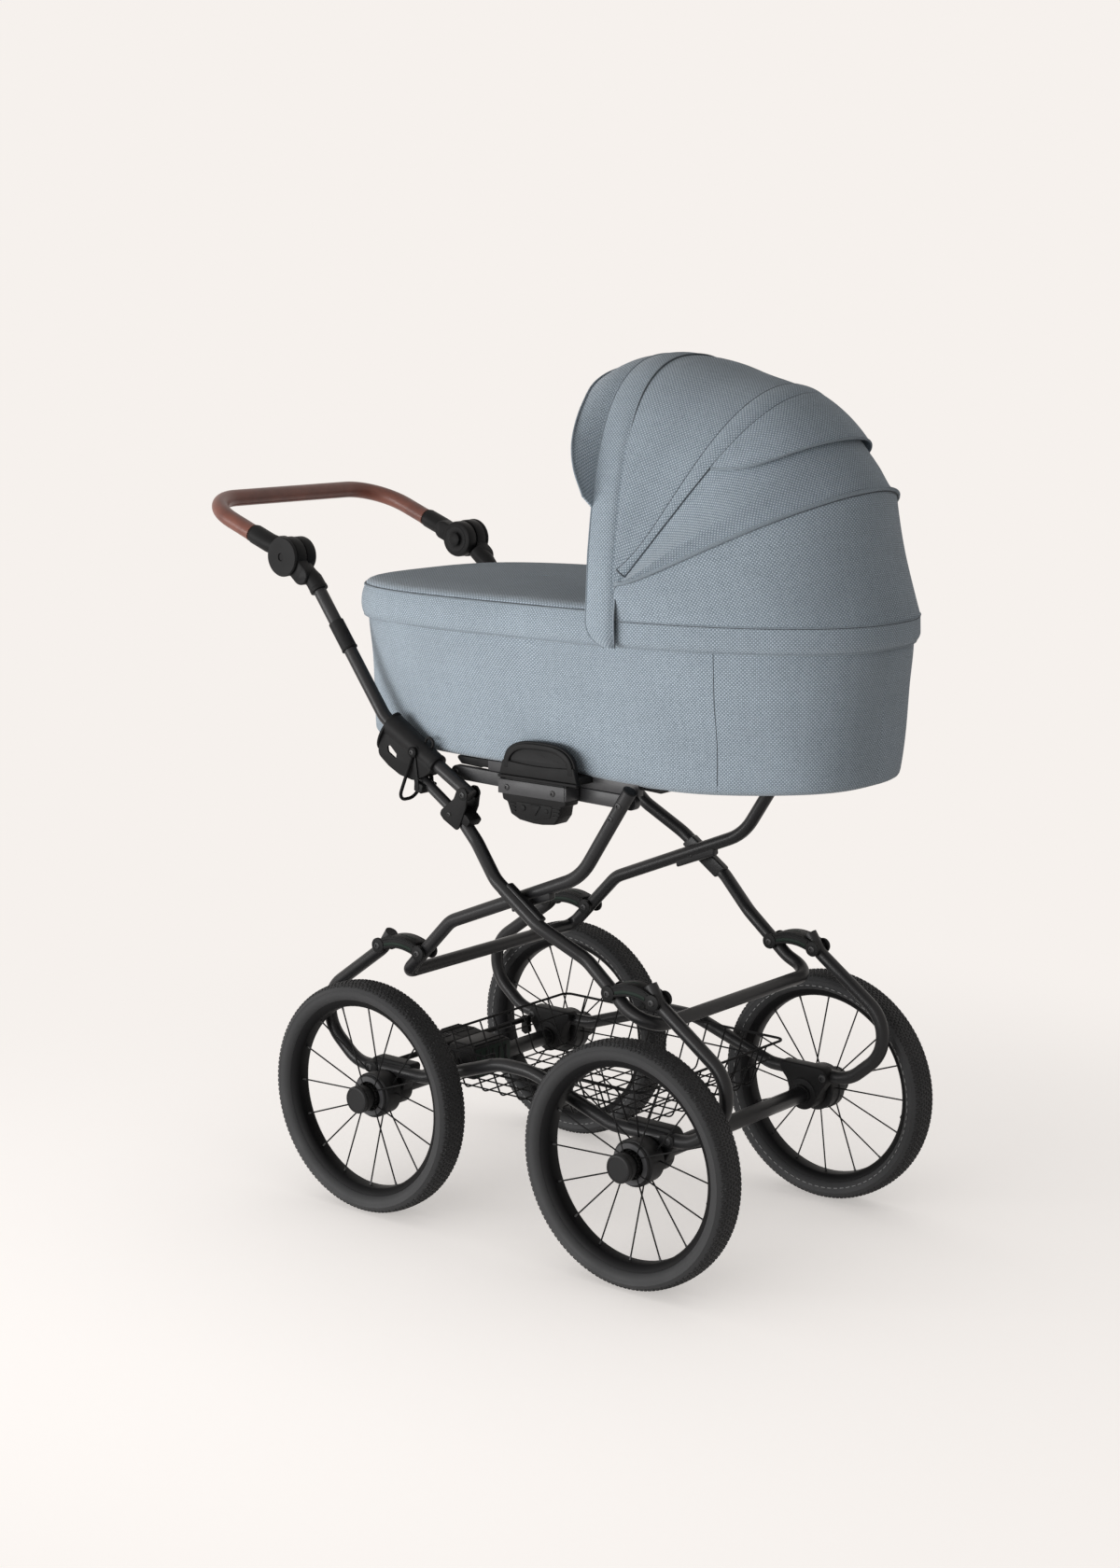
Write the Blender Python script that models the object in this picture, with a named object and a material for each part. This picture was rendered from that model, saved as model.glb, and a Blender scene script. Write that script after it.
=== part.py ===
"""A classic pram: a carrycot with a hood on a folding tube frame with four spoked wheels.

Metres, +Z up, +X towards the hood end, the handle at -X. The left and right halves
mirror each other in Y, and the ground is z = 0. X is written from the point midway
between the axles, and the whole pram is then moved by CENTRE_X so that its origin
is the middle of its outline on the ground.
"""

import math

import bmesh
import bpy
from mathutils import Matrix, Vector

# Driving dimensions
CENTRE_X = 0.0683
WHEEL_RADIUS = 0.178
AXLE_X = 0.2487
WHEEL_Y = 0.2455
TYRE_SEAT_RADIUS = 0.150
RIM_INNER_RADIUS = 0.139
SPOKES = 16
TUBE_RADIUS = 0.010
FRAME_Y = 0.197
BOWED_Y = 0.224
AXLE_TUBE_RADIUS = 0.0125
PIN_RADIUS = 0.004
PIN_HOLE_RADIUS = 0.0047
FIT = 0.0004

# Pivots of the folding frame, seen from the side as (x, z)
SPRING_PIN_X = 0.2585
PIN_Z = 0.403
OUTER_PIN = (0.181, PIN_Z)
INNER_PIN = (-0.178, PIN_Z)
CROSSING = (0.024, 0.514)
HANDLE_PIVOT = (-0.087, 0.653)
RAIL_REAR = (-0.127, 0.678)
RAIL_FRONT = (0.1935, 0.670)
DISC = (-0.439, 0.976)
LOOP_STUD = (-0.181, 0.706)
BRAKE_AXIS = (-0.286, 0.203)

# The carrycot and its hood, whose three bows turn about one pair of pivots
COT_CENTRE_X = 0.059
HOOD_PIVOT = (0.203, 0.967)
HOOD_FRONT_ANGLE = 97.1
HOOD_MIDDLE_ANGLE = 59.3
HOOD_REAR_ANGLE = 27.2
CLOTH = 0.004

SIDES = {"right": -1, "left": 1}
ENDS = {"front": 1, "rear": -1}
FINISHES = {
    "black_metal": ((0.028, 0.029, 0.032), 0.42, 0.75),
    "black_plastic": ((0.018, 0.018, 0.020), 0.50, 0.0),
    "tyre_rubber": ((0.020, 0.020, 0.022), 0.85, 0.0),
    "brown_leather": ((0.115, 0.030, 0.014), 0.42, 0.0),
    "blue_grey_cloth": ((0.210, 0.270, 0.315), 0.90, 0.0),
    "grey_padding": ((0.420, 0.440, 0.460), 0.95, 0.0),
}

for old in list(bpy.data.objects):
    bpy.data.objects.remove(old)


def finish_material(name):
    """The finish's Principled material, made the first time that it is asked for."""
    if name in bpy.data.materials:
        return bpy.data.materials[name]
    colour, roughness, metallic = FINISHES[name]
    material = bpy.data.materials.new(name)
    material.use_nodes = True
    shader = material.node_tree.nodes["Principled BSDF"]
    shader.inputs["Base Color"].default_value = (*colour, 1)
    shader.inputs["Roughness"].default_value = roughness
    shader.inputs["Metallic"].default_value = metallic
    return material


def add_object(name, data):
    obj = bpy.data.objects.new(name, data)
    bpy.context.collection.objects.link(obj)
    return obj


def mesh_object(name, mesh_edit):
    """An object from a bmesh, with its doubles merged and its faces pointing out."""
    bmesh.ops.remove_doubles(mesh_edit, verts=mesh_edit.verts, dist=1e-6)
    bmesh.ops.recalc_face_normals(mesh_edit, faces=mesh_edit.faces)
    mesh = bpy.data.meshes.new(name)
    mesh_edit.to_mesh(mesh)
    mesh_edit.free()
    return add_object(name, mesh)


def bake(obj):
    """The object with its modifiers, or its curve, turned into a plain mesh."""
    graph = bpy.context.evaluated_depsgraph_get()
    mesh = bpy.data.meshes.new_from_object(obj.evaluated_get(graph))
    if obj.type == "MESH":
        obj.modifiers.clear()
        obj.data = mesh
        return obj
    name = obj.name
    bpy.data.objects.remove(obj)
    edit = bmesh.new()
    edit.from_mesh(mesh)
    return mesh_object(name, edit)


def boolean(target, tool, operation):
    modifier = target.modifiers.new(operation, "BOOLEAN")
    modifier.operation = operation
    modifier.object = tool
    bake(target)
    bpy.data.objects.remove(tool)
    return target


def join(target, *tools):
    for tool in tools:
        boolean(target, tool, "UNION")
    return target


def cut(target, *tools):
    for tool in tools:
        boolean(target, tool, "DIFFERENCE")
    return target


def tube(name, points, radius, sides=8, ring=False):
    """A round bar along points, closed at both ends or joined up into a ring."""
    curve = bpy.data.curves.new(name, "CURVE")
    curve.dimensions = "3D"
    curve.bevel_depth = radius
    curve.bevel_resolution = (sides - 4) // 2
    curve.use_fill_caps = not ring
    spline = curve.splines.new("POLY")
    spline.use_cyclic_u = ring
    spline.points.add(len(points) - 1)
    for control, point in zip(spline.points, points):
        control.co = (*point, 1)
    return bake(add_object(name, curve))


def cylinder(name, start, end, radius, sides=16, end_radius=None):
    """A straight round bar or cone between two points."""
    start, end = Vector(start), Vector(end)
    along = end - start
    edit = bmesh.new()
    bmesh.ops.create_cone(
        edit, cap_ends=True, segments=sides, radius1=radius,
        radius2=radius if end_radius is None else end_radius, depth=along.length,
    )
    turn = Vector((0, 0, 1)).rotation_difference(along).to_matrix().to_4x4()
    bmesh.ops.transform(edit, matrix=Matrix.Translation((start + end) / 2) @ turn, verts=edit.verts)
    return mesh_object(name, edit)


def disc(name, centre, y_from, y_to, radius, sides=20):
    """A round plate across the pram, centred on (x, z)."""
    x, z = centre
    return cylinder(name, (x, y_from, z), (x, y_to, z), radius, sides)


def box(name, low, high):
    edit = bmesh.new()
    bmesh.ops.create_cube(edit, size=1)
    size = [high[i] - low[i] for i in range(3)]
    middle = [(high[i] + low[i]) / 2 for i in range(3)]
    bmesh.ops.scale(edit, vec=size, verts=edit.verts)
    bmesh.ops.translate(edit, vec=middle, verts=edit.verts)
    return mesh_object(name, edit)


def plate(name, outline, y_from, y_to):
    """A flat plate across Y from an outline of (x, z) points."""
    edit = bmesh.new()
    face = edit.faces.new([edit.verts.new((x, y_from, z)) for x, z in outline])
    grown = bmesh.ops.extrude_face_region(edit, geom=[face])
    moved = [item for item in grown["geom"] if isinstance(item, bmesh.types.BMVert)]
    bmesh.ops.translate(edit, vec=(0, y_to - y_from, 0), verts=moved)
    return mesh_object(name, edit)


def turned(name, profile, centre, sides):
    """A solid turned about an axis across the pram: profile is a closed loop of (radius, y)."""
    x, z = centre
    edit = bmesh.new()
    ring = [edit.verts.new((x + radius, y, z)) for radius, y in profile]
    edges = [edit.edges.new((ring[i - 1], ring[i])) for i in range(len(ring))]
    bmesh.ops.spin(
        edit, geom=ring + edges, cent=(x, 0, z), axis=(0, 1, 0),
        angle=2 * math.pi, steps=sides, use_merge=True,
    )
    return mesh_object(name, edit)


def loft(name, rings):
    """A closed solid through rings with the same number of points, with its two ends filled."""
    edit = bmesh.new()
    loops = [[edit.verts.new(point) for point in ring] for ring in rings]
    for low, high in zip(loops, loops[1:]):
        for i in range(len(low)):
            edit.faces.new((low[i - 1], low[i], high[i], high[i - 1]))
    edit.faces.new(loops[0])
    edit.faces.new(loops[-1])
    return mesh_object(name, edit)


def shell(name, outer_rows, inner_rows):
    """A sheet with thickness: rows of points on its outer and its inner side."""
    edit = bmesh.new()
    sheets = [[[edit.verts.new(point) for point in row] for row in rows] for rows in (outer_rows, inner_rows)]
    last_row, last_column = len(outer_rows) - 1, len(outer_rows[0]) - 1
    for rows in sheets:
        for i in range(last_row):
            for k in range(last_column):
                edit.faces.new((rows[i][k], rows[i][k + 1], rows[i + 1][k + 1], rows[i + 1][k]))
    outer, inner = sheets
    for k in range(last_column):
        for i in (0, last_row):
            edit.faces.new((outer[i][k], outer[i][k + 1], inner[i][k + 1], inner[i][k]))
    for i in range(last_row):
        for k in (0, last_column):
            edit.faces.new((outer[i][k], outer[i + 1][k], inner[i + 1][k], inner[i][k]))
    return mesh_object(name, edit)


def rounded_path(corners, step=math.radians(20)):
    """Points along straight runs with an arc at each corner; a corner is (point, radius)."""
    points = [Vector(corners[0][0])]
    for i in range(1, len(corners) - 1):
        corner, radius = Vector(corners[i][0]), corners[i][1]
        back = (Vector(corners[i - 1][0]) - corner).normalized()
        ahead = (Vector(corners[i + 1][0]) - corner).normalized()
        half = back.angle(ahead) / 2
        middle = corner + (back + ahead).normalized() * radius / math.sin(half)
        first = corner + back * radius / math.tan(half) - middle
        last = corner + ahead * radius / math.tan(half) - middle
        turn = math.pi - 2 * half
        count = max(2, math.ceil(turn / step))
        for k in range(count + 1):
            share = k / count
            points.append(middle + (first * math.sin((1 - share) * turn) + last * math.sin(share * turn)) / math.sin(turn))
    points.append(Vector(corners[-1][0]))
    return points


def side_path(corners, y):
    """A rounded path in one upright plane, from (x, z, radius) corners."""
    return rounded_path([((x, y, z), radius) for x, z, radius in corners])


def mirrored_path(corners):
    """A path across the pram: the corners of its left half, then the same on the right."""
    left = [((x, y, z), radius) for x, y, z, radius in corners]
    right = [((x, -y, z), radius) for x, y, z, radius in reversed(corners)]
    return rounded_path(left + right)


# Routes of the frame's tubes

SPRING_TUBE = [
    (0.244, 0.423, 0), (0.262, 0.396, 0.04), (0.4123, 0.2879, 0.059),
    (0.318, 0.208, 0.06), (0.178, 0.209, 0.06), (0.0305, 0.258, 0.12),
]
OUTER_FRAME = [
    (-0.098, 0.198, 0.6115, 0), (-0.070, 0.200, 0.584, 0.05), (-0.014, 0.224, 0.540, 0.06),
    (0.066, 0.224, 0.484, 0.06), (0.132, 0.197, 0.4405, 0.06), (0.2035, 0.197, 0.3815, 0.06),
    (0.248, 0.197, 0.362, 0.035),
]
TONGUE = [(-0.193, 0.675), (-0.092, 0.6075)]
INNER_FRAME = [
    (0.2070, 0.197, 0.691, 0), (0.1205, 0.197, 0.558, 0.09), (-0.125, 0.197, 0.4577, 0.05),
    (-0.214, 0.197, 0.3665, 0.016),
]
HANDLE_TUBE = [(-0.384, 0.9285, 0), (-0.252, 0.748, 0.05), (-0.0835, 0.6507, 0)]
HANDLE_BAR = [(-0.500, 0.1965, 0.9965, 0), (-0.632, 0.190, 1.0470, 0.050)]


def spring_path(y):
    front = side_path(SPRING_TUBE + [(-x, z, r) for x, z, r in reversed(SPRING_TUBE)], y)
    return front


def cross_pin(name, at, y, reach, radius=PIN_HOLE_RADIUS):
    return disc(name, at, y - reach, y + reach, radius, 12)


# Wheels

def wheel_parts(end, side):
    x, y = AXLE_X * ENDS[end], SIDES[side]
    centre = (x, WHEEL_RADIUS)
    place = f"{end}_{side}"
    tyre_loop = [(0.150, 0.017), (0.158, 0.0245), (0.168, 0.0255), (0.1755, 0.015)]
    crown = [(WHEEL_RADIUS, 0.0)]
    profile = tyre_loop + crown + [(r, -half) for r, half in reversed(tyre_loop)]
    tyre = turned(f"tyre_{place}", [(r, y * WHEEL_Y + half) for r, half in profile], centre, 32)
    rim_loop = [(RIM_INNER_RADIUS, 0.010), (TYRE_SEAT_RADIUS - 0.0006, 0.0165)]
    profile = rim_loop + [(r, -half) for r, half in reversed(rim_loop)]
    rim = turned(f"wheel_{place}", [(r, y * WHEEL_Y + half) for r, half in profile], centre, 32)
    hub_profile = [(0.0067, 0.2095), (0.0350, 0.2095), (0.0350, 0.2270), (0.0165, 0.2310), (0.0165, 0.2495), (0.0067, 0.2495)]
    hub = turned("hub", [(r, y * at) for r, at in hub_profile], centre, 14)
    for i in range(SPOKES):
        inner_set = i % 2 == 0
        hub_radius, hub_y = (0.0330, 0.2235) if inner_set else (0.0150, 0.2440)
        angle = 2 * math.pi * i / SPOKES
        lean = math.radians(9 if i % 4 < 2 else -9) * (1 if inner_set else 2)
        start = (x + hub_radius * math.cos(angle + lean), y * hub_y, WHEEL_RADIUS + hub_radius * math.sin(angle + lean))
        end_at = (x + 0.1415 * math.cos(angle), y * WHEEL_Y, WHEEL_RADIUS + 0.1415 * math.sin(angle))
        join(hub, cylinder("spoke", start, end_at, 0.0012, 4))
    join(rim, hub)
    cap = turned(
        f"hub_cap_{place}",
        [(0.0, y * 0.2540), (0.0210, y * 0.2540), (0.0210, y * 0.2735), (0.0190, y * 0.2755), (0.0, y * 0.2755)],
        centre, 18,
    )
    put(tyre, f"wheel_{place}", "tyre_rubber")
    put(rim, f"wheel_{place}", "black_metal")
    put(cap, f"hub_cap_{place}", "black_plastic")


# Lower chassis

def axle_tube(end):
    x = AXLE_X * ENDS[end]
    half = [(0.0, 0.2510), (0.0060, 0.2510), (0.0060, 0.2065), (AXLE_TUBE_RADIUS, 0.2065)]
    profile = half + [(r, -at) for r, at in reversed(half)]
    put(turned(f"{end}_axle", profile, (x, WHEEL_RADIUS), 14), "chassis", "black_metal")


def spring_tube(side):
    y = SIDES[side] * FRAME_Y
    bar = tube(f"spring_tube_{side}", spring_path(y), TUBE_RADIUS)
    for x in (SPRING_PIN_X, -SPRING_PIN_X):
        cut(bar, cross_pin("drill", (x, PIN_Z), y, 0.02))
    put(bar, "chassis", "black_metal")


def axle_bracket(end, side):
    """The casting that clamps a spring tube on top of its axle."""
    x, s = AXLE_X * ENDS[end], SIDES[side]
    y_in, y_out = s * 0.178, s * 0.2085
    body = disc(f"axle_bracket_{end}_{side}", (x, WHEEL_RADIUS), y_in, y_out, 0.023, 18)
    saddle = [
        (x - 0.036, 0.2235), (x - 0.036, 0.2000), (x - 0.020, 0.1800),
        (x + 0.020, 0.1800), (x + 0.036, 0.2000), (x + 0.036, 0.2235),
    ]
    join(body, plate("saddle", saddle, y_in, y_out))
    cut(body, disc("bore", (x, WHEEL_RADIUS), s * 0.170, s * 0.215, AXLE_TUBE_RADIUS + 0.0006, 14))
    cut(body, tube("clamp_hole", spring_path(s * FRAME_Y), TUBE_RADIUS + FIT))
    put(body, "chassis", "black_plastic")


def wire_basket():
    """An open tray of welded wire, hung from the two spring tubes."""
    wire, half_y, rim_z, floor_z, floor_half_y = 0.0021, 0.1795, 0.2560, 0.1900, 0.1500
    rear_x, front_x, floor_rear, floor_front = -0.2130, 0.2130, -0.1850, 0.1850
    rim = [((front_x, 0, rim_z), 0), ((front_x, half_y, rim_z), 0.03), ((rear_x, half_y, rim_z), 0.03), ((rear_x, 0, rim_z), 0)]
    half_rim = rounded_path(rim)
    ring = half_rim + [Vector((p.x, -p.y, p.z)) for p in reversed(half_rim[1:-1])]
    basket = tube("wire_basket", ring, wire, 6, ring=True)
    for i in range(7):
        x = floor_rear + 0.012 + (floor_front - floor_rear - 0.024) * i / 6
        hoop = [(x, half_y, rim_z), (x, floor_half_y, floor_z), (x, -floor_half_y, floor_z), (x, -half_y, rim_z)]
        join(basket, tube("hoop", hoop, 0.0017, 4))
    for i in range(5):
        y = -0.13 + 0.065 * i
        run = [(rear_x, y, rim_z), (floor_rear, y, floor_z - 0.002), (floor_front, y, floor_z - 0.002), (front_x, y, rim_z)]
        join(basket, tube("run", run, 0.0017, 4))
    for x in (-0.055, 0.055):
        for s in (-1, 1):
            hook = [(x, s * half_y, rim_z), (x, s * (half_y + 0.002), 0.2655), (x, s * 0.203, 0.2655)]
            join(basket, tube("hook", hook, 0.0017, 4))
    put(basket, "chassis", "black_metal")


def brake():
    """A housing on the rear axle, and the foot pedal on its cross rod."""
    x = -AXLE_X
    housing = box("brake_housing", (x - 0.022, -0.045, 0.1600), (x + 0.034, 0.045, 0.2120))
    cut(housing, disc("bore", (x, WHEEL_RADIUS), -0.06, 0.06, AXLE_TUBE_RADIUS + 0.0006, 14))
    put(housing, "chassis", "black_plastic")
    rod = disc("brake_pedal", BRAKE_AXIS, -0.172, 0.172, 0.0045, 10)
    pads = [
        (x - 0.029, 0.208), (x - 0.034, 0.194), (x - 0.052, 0.192),
        (x - 0.084, 0.204), (x - 0.084, 0.212), (x - 0.050, 0.213),
    ]
    join(rod, plate("pads", pads, -0.052, 0.052))
    for s in (-1, 1):
        tooth = [(-0.292, 0.208), (-0.280, 0.208), (-0.278, 0.182), (-0.284, 0.178), (-0.292, 0.182)]
        join(rod, plate("tooth", tooth, s * 0.1595, s * 0.1700))
    put(rod, "brake_pedal", "black_plastic")


# Folding frame

def link(end, side):
    """A pair of arched plates with a pin at each end, one round the spring tube's tip."""
    s, mirror = SIDES[side], ENDS[end]
    tip = (SPRING_PIN_X * mirror, PIN_Z)
    inner = OUTER_PIN if end == "front" else INNER_PIN
    y = s * FRAME_Y
    rise, half_width, boss = 0.010, 0.0075, 0.0115
    upper, lower = [], []
    for i in range(9):
        share = i / 8
        x = tip[0] + (inner[0] - tip[0]) * share
        arch = rise * 4 * share * (1 - share)
        upper.append((x, PIN_Z + arch + half_width))
        lower.append((x, PIN_Z + arch - half_width))
    outline = upper + lower[::-1]
    name = f"link_{end}_{side}"
    body = None
    for side_of_tube in (-1, 1):
        near, far = y + side_of_tube * 0.0118, y + side_of_tube * 0.0155
        cheek = plate("cheek", outline, near, far)
        for pin in (tip, inner):
            join(cheek, disc("boss", pin, near, far + side_of_tube * 0.0010, boss, 14))
        if body is None:
            body = cheek
        else:
            join(body, cross_pin("pin", tip, y, 0.0135, PIN_RADIUS))
            join(body, cross_pin("pin", inner, y, 0.0135, PIN_RADIUS))
            join(body, cheek)
    body.name = name
    put(body, f"{end}_links", "black_plastic")


def crossing_sleeve(slope, y, half_length=0.042):
    """The flattened, pressed stretch of a tube where the two frames cross."""
    along = Vector((math.cos(slope), 0, math.sin(slope))) * half_length
    across = Vector((-math.sin(slope), 0, math.cos(slope))) * 0.0125
    middle = Vector((CROSSING[0] + 0.008, 0, CROSSING[1] + 0.008 * math.tan(slope)))
    corners = [middle - along - across, middle + along - across, middle + along + across, middle - along + across]
    return plate("sleeve", [(c.x, c.z) for c in corners], y - 0.0068, y + 0.0068)


def outer_frame():
    """The U-shaped tube that runs from the handle's hinges down to the front links."""
    bar = tube("outer_frame", mirrored_path(OUTER_FRAME), TUBE_RADIUS)
    for s in (-1, 1):
        y = s * FRAME_Y
        tongue = tube("tongue", [(x, s * 0.1975, z) for x, z in TONGUE], 0.0078)
        join(bar, tongue, crossing_sleeve(math.atan2(-0.056, 0.080), s * (BOWED_Y - 0.0035)))
        foot = (-0.1745, 0.6540)
        for near, far in ((-0.0155, -0.0172), (0.0155, 0.0172)):
            prong = plate("prong", capsule(foot, LOOP_STUD, 0.0085), y + near, y + far)
            join(prong, disc("stud", LOOP_STUD, y + near, y + far + math.copysign(0.0030, far), 0.0045, 12))
            join(bar, prong) if near > 0 else join(bar, bridge_of_fork(y, foot), prong)
        cut(bar, cross_pin("drill", OUTER_PIN, y, 0.02))
    put(bar, "outer_frame", "black_metal")


def bridge_of_fork(y, foot):
    """The block under the tongue that carries the two prongs of the lock."""
    x, z = foot
    return plate("bridge", [(x - 0.007, z - 0.005), (x + 0.007, z - 0.009), (x + 0.011, z + 0.004), (x - 0.006, z + 0.009)], y - 0.0160, y + 0.0160)


def capsule(start, end, radius, count=7):
    """A flat bar's outline with round ends, as (x, z) points."""
    angle = math.atan2(end[1] - start[1], end[0] - start[0])
    points = []
    for centre, turn in ((end, -math.pi / 2), (start, math.pi / 2)):
        for i in range(count):
            at = angle + turn + math.pi * i / (count - 1)
            points.append((centre[0] + radius * math.cos(at), centre[1] + radius * math.sin(at)))
    return points


def inner_frame():
    """The U-shaped tube that runs from the rails' front pivots down to the rear links."""
    bar = tube("inner_frame", mirrored_path(INNER_FRAME), TUBE_RADIUS)
    for s in (-1, 1):
        y = s * FRAME_Y
        join(bar, crossing_sleeve(math.atan2(0.0395, 0.100), y))
        cut(bar, cross_pin("drill", INNER_PIN, y, 0.02))
        cut(bar, disc("drill", RAIL_FRONT, y - s * 0.02, y + s * 0.006, PIN_HOLE_RADIUS, 12))
    put(bar, "inner_frame", "black_metal")


def rail(side):
    """The flat bar that ties the handle to the inner frame and carries the carrycot."""
    s = SIDES[side]
    bar = plate(f"fold_rail_{side}", capsule(RAIL_REAR, RAIL_FRONT, 0.0102), s * 0.1680, s * 0.1802)
    join(bar, disc("pin", RAIL_FRONT, s * 0.1795, s * 0.1990, PIN_RADIUS, 12))
    put(bar, "fold_rails", "black_metal")


def adapter(side):
    """The plastic seat on the rail that the carrycot's catch clips into."""
    s = SIDES[side]
    outline = [
        (-0.0165, 0.6900), (-0.0165, 0.6650), (-0.0020, 0.6600), (0.0040, 0.6380), (0.0190, 0.6300),
        (0.0600, 0.6270), (0.0860, 0.6300), (0.0960, 0.6420), (0.0990, 0.6600), (0.1060, 0.6650), (0.1060, 0.6900),
    ]
    body = plate(f"adapter_{side}", outline, s * 0.1808, s * 0.2120)
    join(body, plate("strip", [(-0.0175, 0.6650), (0.1040, 0.6650), (0.1040, 0.6860), (-0.0175, 0.6860)], s * 0.2110, s * 0.2142))
    cut(body, box("slot", (-0.004, min(s * 0.1935, s * 0.2075), 0.6785), (0.098, max(s * 0.1935, s * 0.2075), 0.70)))
    put(body, "fold_rails", "black_plastic")


def hinge_bracket(side):
    """The forked bracket on the outer frame that the handle tube hinges in."""
    s = SIDES[side]
    y = s * FRAME_Y
    outline = [
        (-0.1300, 0.6255), (-0.1235, 0.6325), (-0.1040, 0.6340), (-0.0975, 0.6410), (-0.0985, 0.6580),
        (-0.0900, 0.6655), (-0.0720, 0.6655), (-0.0625, 0.6600), (-0.0630, 0.6380), (-0.0765, 0.6215),
        (-0.0915, 0.6105), (-0.1016, 0.6070), (-0.1190, 0.6150),
    ]
    body = None
    for way in (-1, 1):
        near, far = y + way * 0.0122, y + way * 0.0150
        cheek = plate("cheek", outline, near, far)
        join(cheek, disc("boss", HANDLE_PIVOT, near, far + way * 0.0008, 0.0125, 16))
        if body is None:
            body = cheek
        else:
            join(body, cross_pin("pin", HANDLE_PIVOT, y, 0.0135, PIN_RADIUS))
            saddle = [
                (-0.1190, 0.6310), (-0.1010, 0.6335), (-0.0820, 0.6230), (-0.0740, 0.6150),
                (-0.0820, 0.6050), (-0.0950, 0.6130), (-0.1200, 0.6230),
            ]
            join(body, plate("saddle", saddle, y - 0.0135, y + 0.0135), cheek)
    body.name = f"hinge_bracket_{side}"
    cut(body, tube("frame_hole", mirrored_path(OUTER_FRAME), TUBE_RADIUS + FIT))
    cut(body, tube("tongue_hole", [(x, s * 0.1975, z) for x, z in TONGUE], 0.0078 + FIT))
    put(body, "outer_frame", "black_plastic")


# Handle

def handle_path(s):
    return side_path(HANDLE_TUBE, s * FRAME_Y)


def handle_tube(side):
    s = SIDES[side]
    y = s * FRAME_Y
    bar = tube(f"handle_tube_{side}", handle_path(s), TUBE_RADIUS)
    join(bar, tube("collar", [(-0.3480, y, 0.8793), (-0.2905, y, 0.8007)], 0.0118))
    cut(bar, cross_pin("drill", HANDLE_PIVOT, y, 0.02))
    put(bar, "handle", "black_metal")


def lock_housing(side):
    """The catch on the handle tube: a sleeve, a collar and two cheeks over the frame's tongue."""
    s = SIDES[side]
    y = s * FRAME_Y
    start, end = Vector((-0.2290, y, 0.7330)), Vector((-0.1310, y, 0.6780))
    body = tube(f"lock_housing_{side}", [start, end], 0.0142, 12)
    cheek = [
        (-0.2030, 0.7560), (-0.1380, 0.7060), (-0.1270, 0.6830), (-0.1600, 0.6690), (-0.1790, 0.6660),
        (-0.2180, 0.6800), (-0.2590, 0.7010),
    ]
    for way in (-1, 1):
        join(body, plate("cheek", cheek, y + way * 0.0122, y + way * 0.0146))
    top = [(-0.2060, 0.7530), (-0.2100, 0.7570), (-0.2640, 0.7040), (-0.2600, 0.7000)]
    join(body, plate("collar", top, y - 0.0165, y + 0.0165))
    cut(body, plate("window", [(-0.2330, 0.7100), (-0.2220, 0.7200), (-0.2110, 0.7010), (-0.2220, 0.6920)], y - 0.03, y + 0.03))
    cut(body, tube("tube_hole", handle_path(s), TUBE_RADIUS + FIT))
    put(body, "handle", "black_plastic")


def handle_socket(side):
    """The toothed disc and arm at the top of a handle tube."""
    s = SIDES[side]
    y = s * FRAME_Y
    body = disc(f"handle_socket_{side}", DISC, s * 0.1945, s * 0.2150, 0.0285, 24)
    join(body, plate("neck", capsule(DISC, (-0.4060, 0.9475), 0.0145), s * 0.1945, s * 0.2150))
    arm = [(-0.4145, y, 0.9545), (-0.3850, y, 0.9290), (-0.3520, y, 0.8855)]
    join(body, tube("arm", arm, 0.0150, 12))
    cut(body, disc("bore", DISC, s * 0.18, s * 0.23, 0.0068, 12))
    cut(body, tube("tube_hole", handle_path(s), TUBE_RADIUS + FIT))
    cut(body, tube("collar_hole", [(-0.3590, y, 0.8943), (-0.2905, y, 0.8007)], 0.0118 + FIT))
    put(body, "handle", "black_plastic")


def handle_knuckle(side):
    """The disc and arm at each end of the handle bar, on one axis with the socket's disc."""
    s = SIDES[side]
    body = disc(f"handle_knuckle_{side}", DISC, s * 0.1730, s * 0.1940, 0.0285, 24)
    join(body, disc("axle", DISC, s * 0.1900, s * 0.2180, 0.0060, 12))
    join(body, disc("outer_cap", DISC, s * 0.2155, s * 0.2210, 0.0275, 24))
    join(body, plate("neck", capsule(DISC, (-0.4780, 0.9902), 0.0140), s * 0.1730, s * 0.1940))
    arm = [(-0.4690, s * 0.1963, 0.9868), (-0.4880, s * 0.1963, 0.9925), (-0.5180, s * 0.1963, 1.0047)]
    join(body, tube("arm", arm, 0.0150, 12))
    cut(body, disc("button_well", DISC, s * 0.165, s * 0.1835, 0.0118, 14))
    path = mirrored_path(HANDLE_BAR)
    cut(body, tube("bar_hole", path, TUBE_RADIUS + FIT))
    put(body, "handle_bar", "black_plastic")
    button = disc(f"handle_button_{side}", DISC, s * 0.1670, s * 0.1790, 0.0108, 14)
    put(button, f"handle_button_{side}", "black_plastic")


def handle_bar():
    path = mirrored_path(HANDLE_BAR)
    put(tube("handle_bar_tube", path, TUBE_RADIUS), "handle_bar", "black_metal")
    direction = (path[1] - path[0]).normalized()
    start = path[0] + direction * 0.0255
    end = Vector((start.x, -start.y, start.z))
    covered = [start] + path[1:-1] + [end]
    sleeve = tube("leather_grip", covered, 0.0130, 10)
    cut(sleeve, tube("core", path, TUBE_RADIUS + FIT))
    put(sleeve, "handle_bar", "brown_leather")


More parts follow.
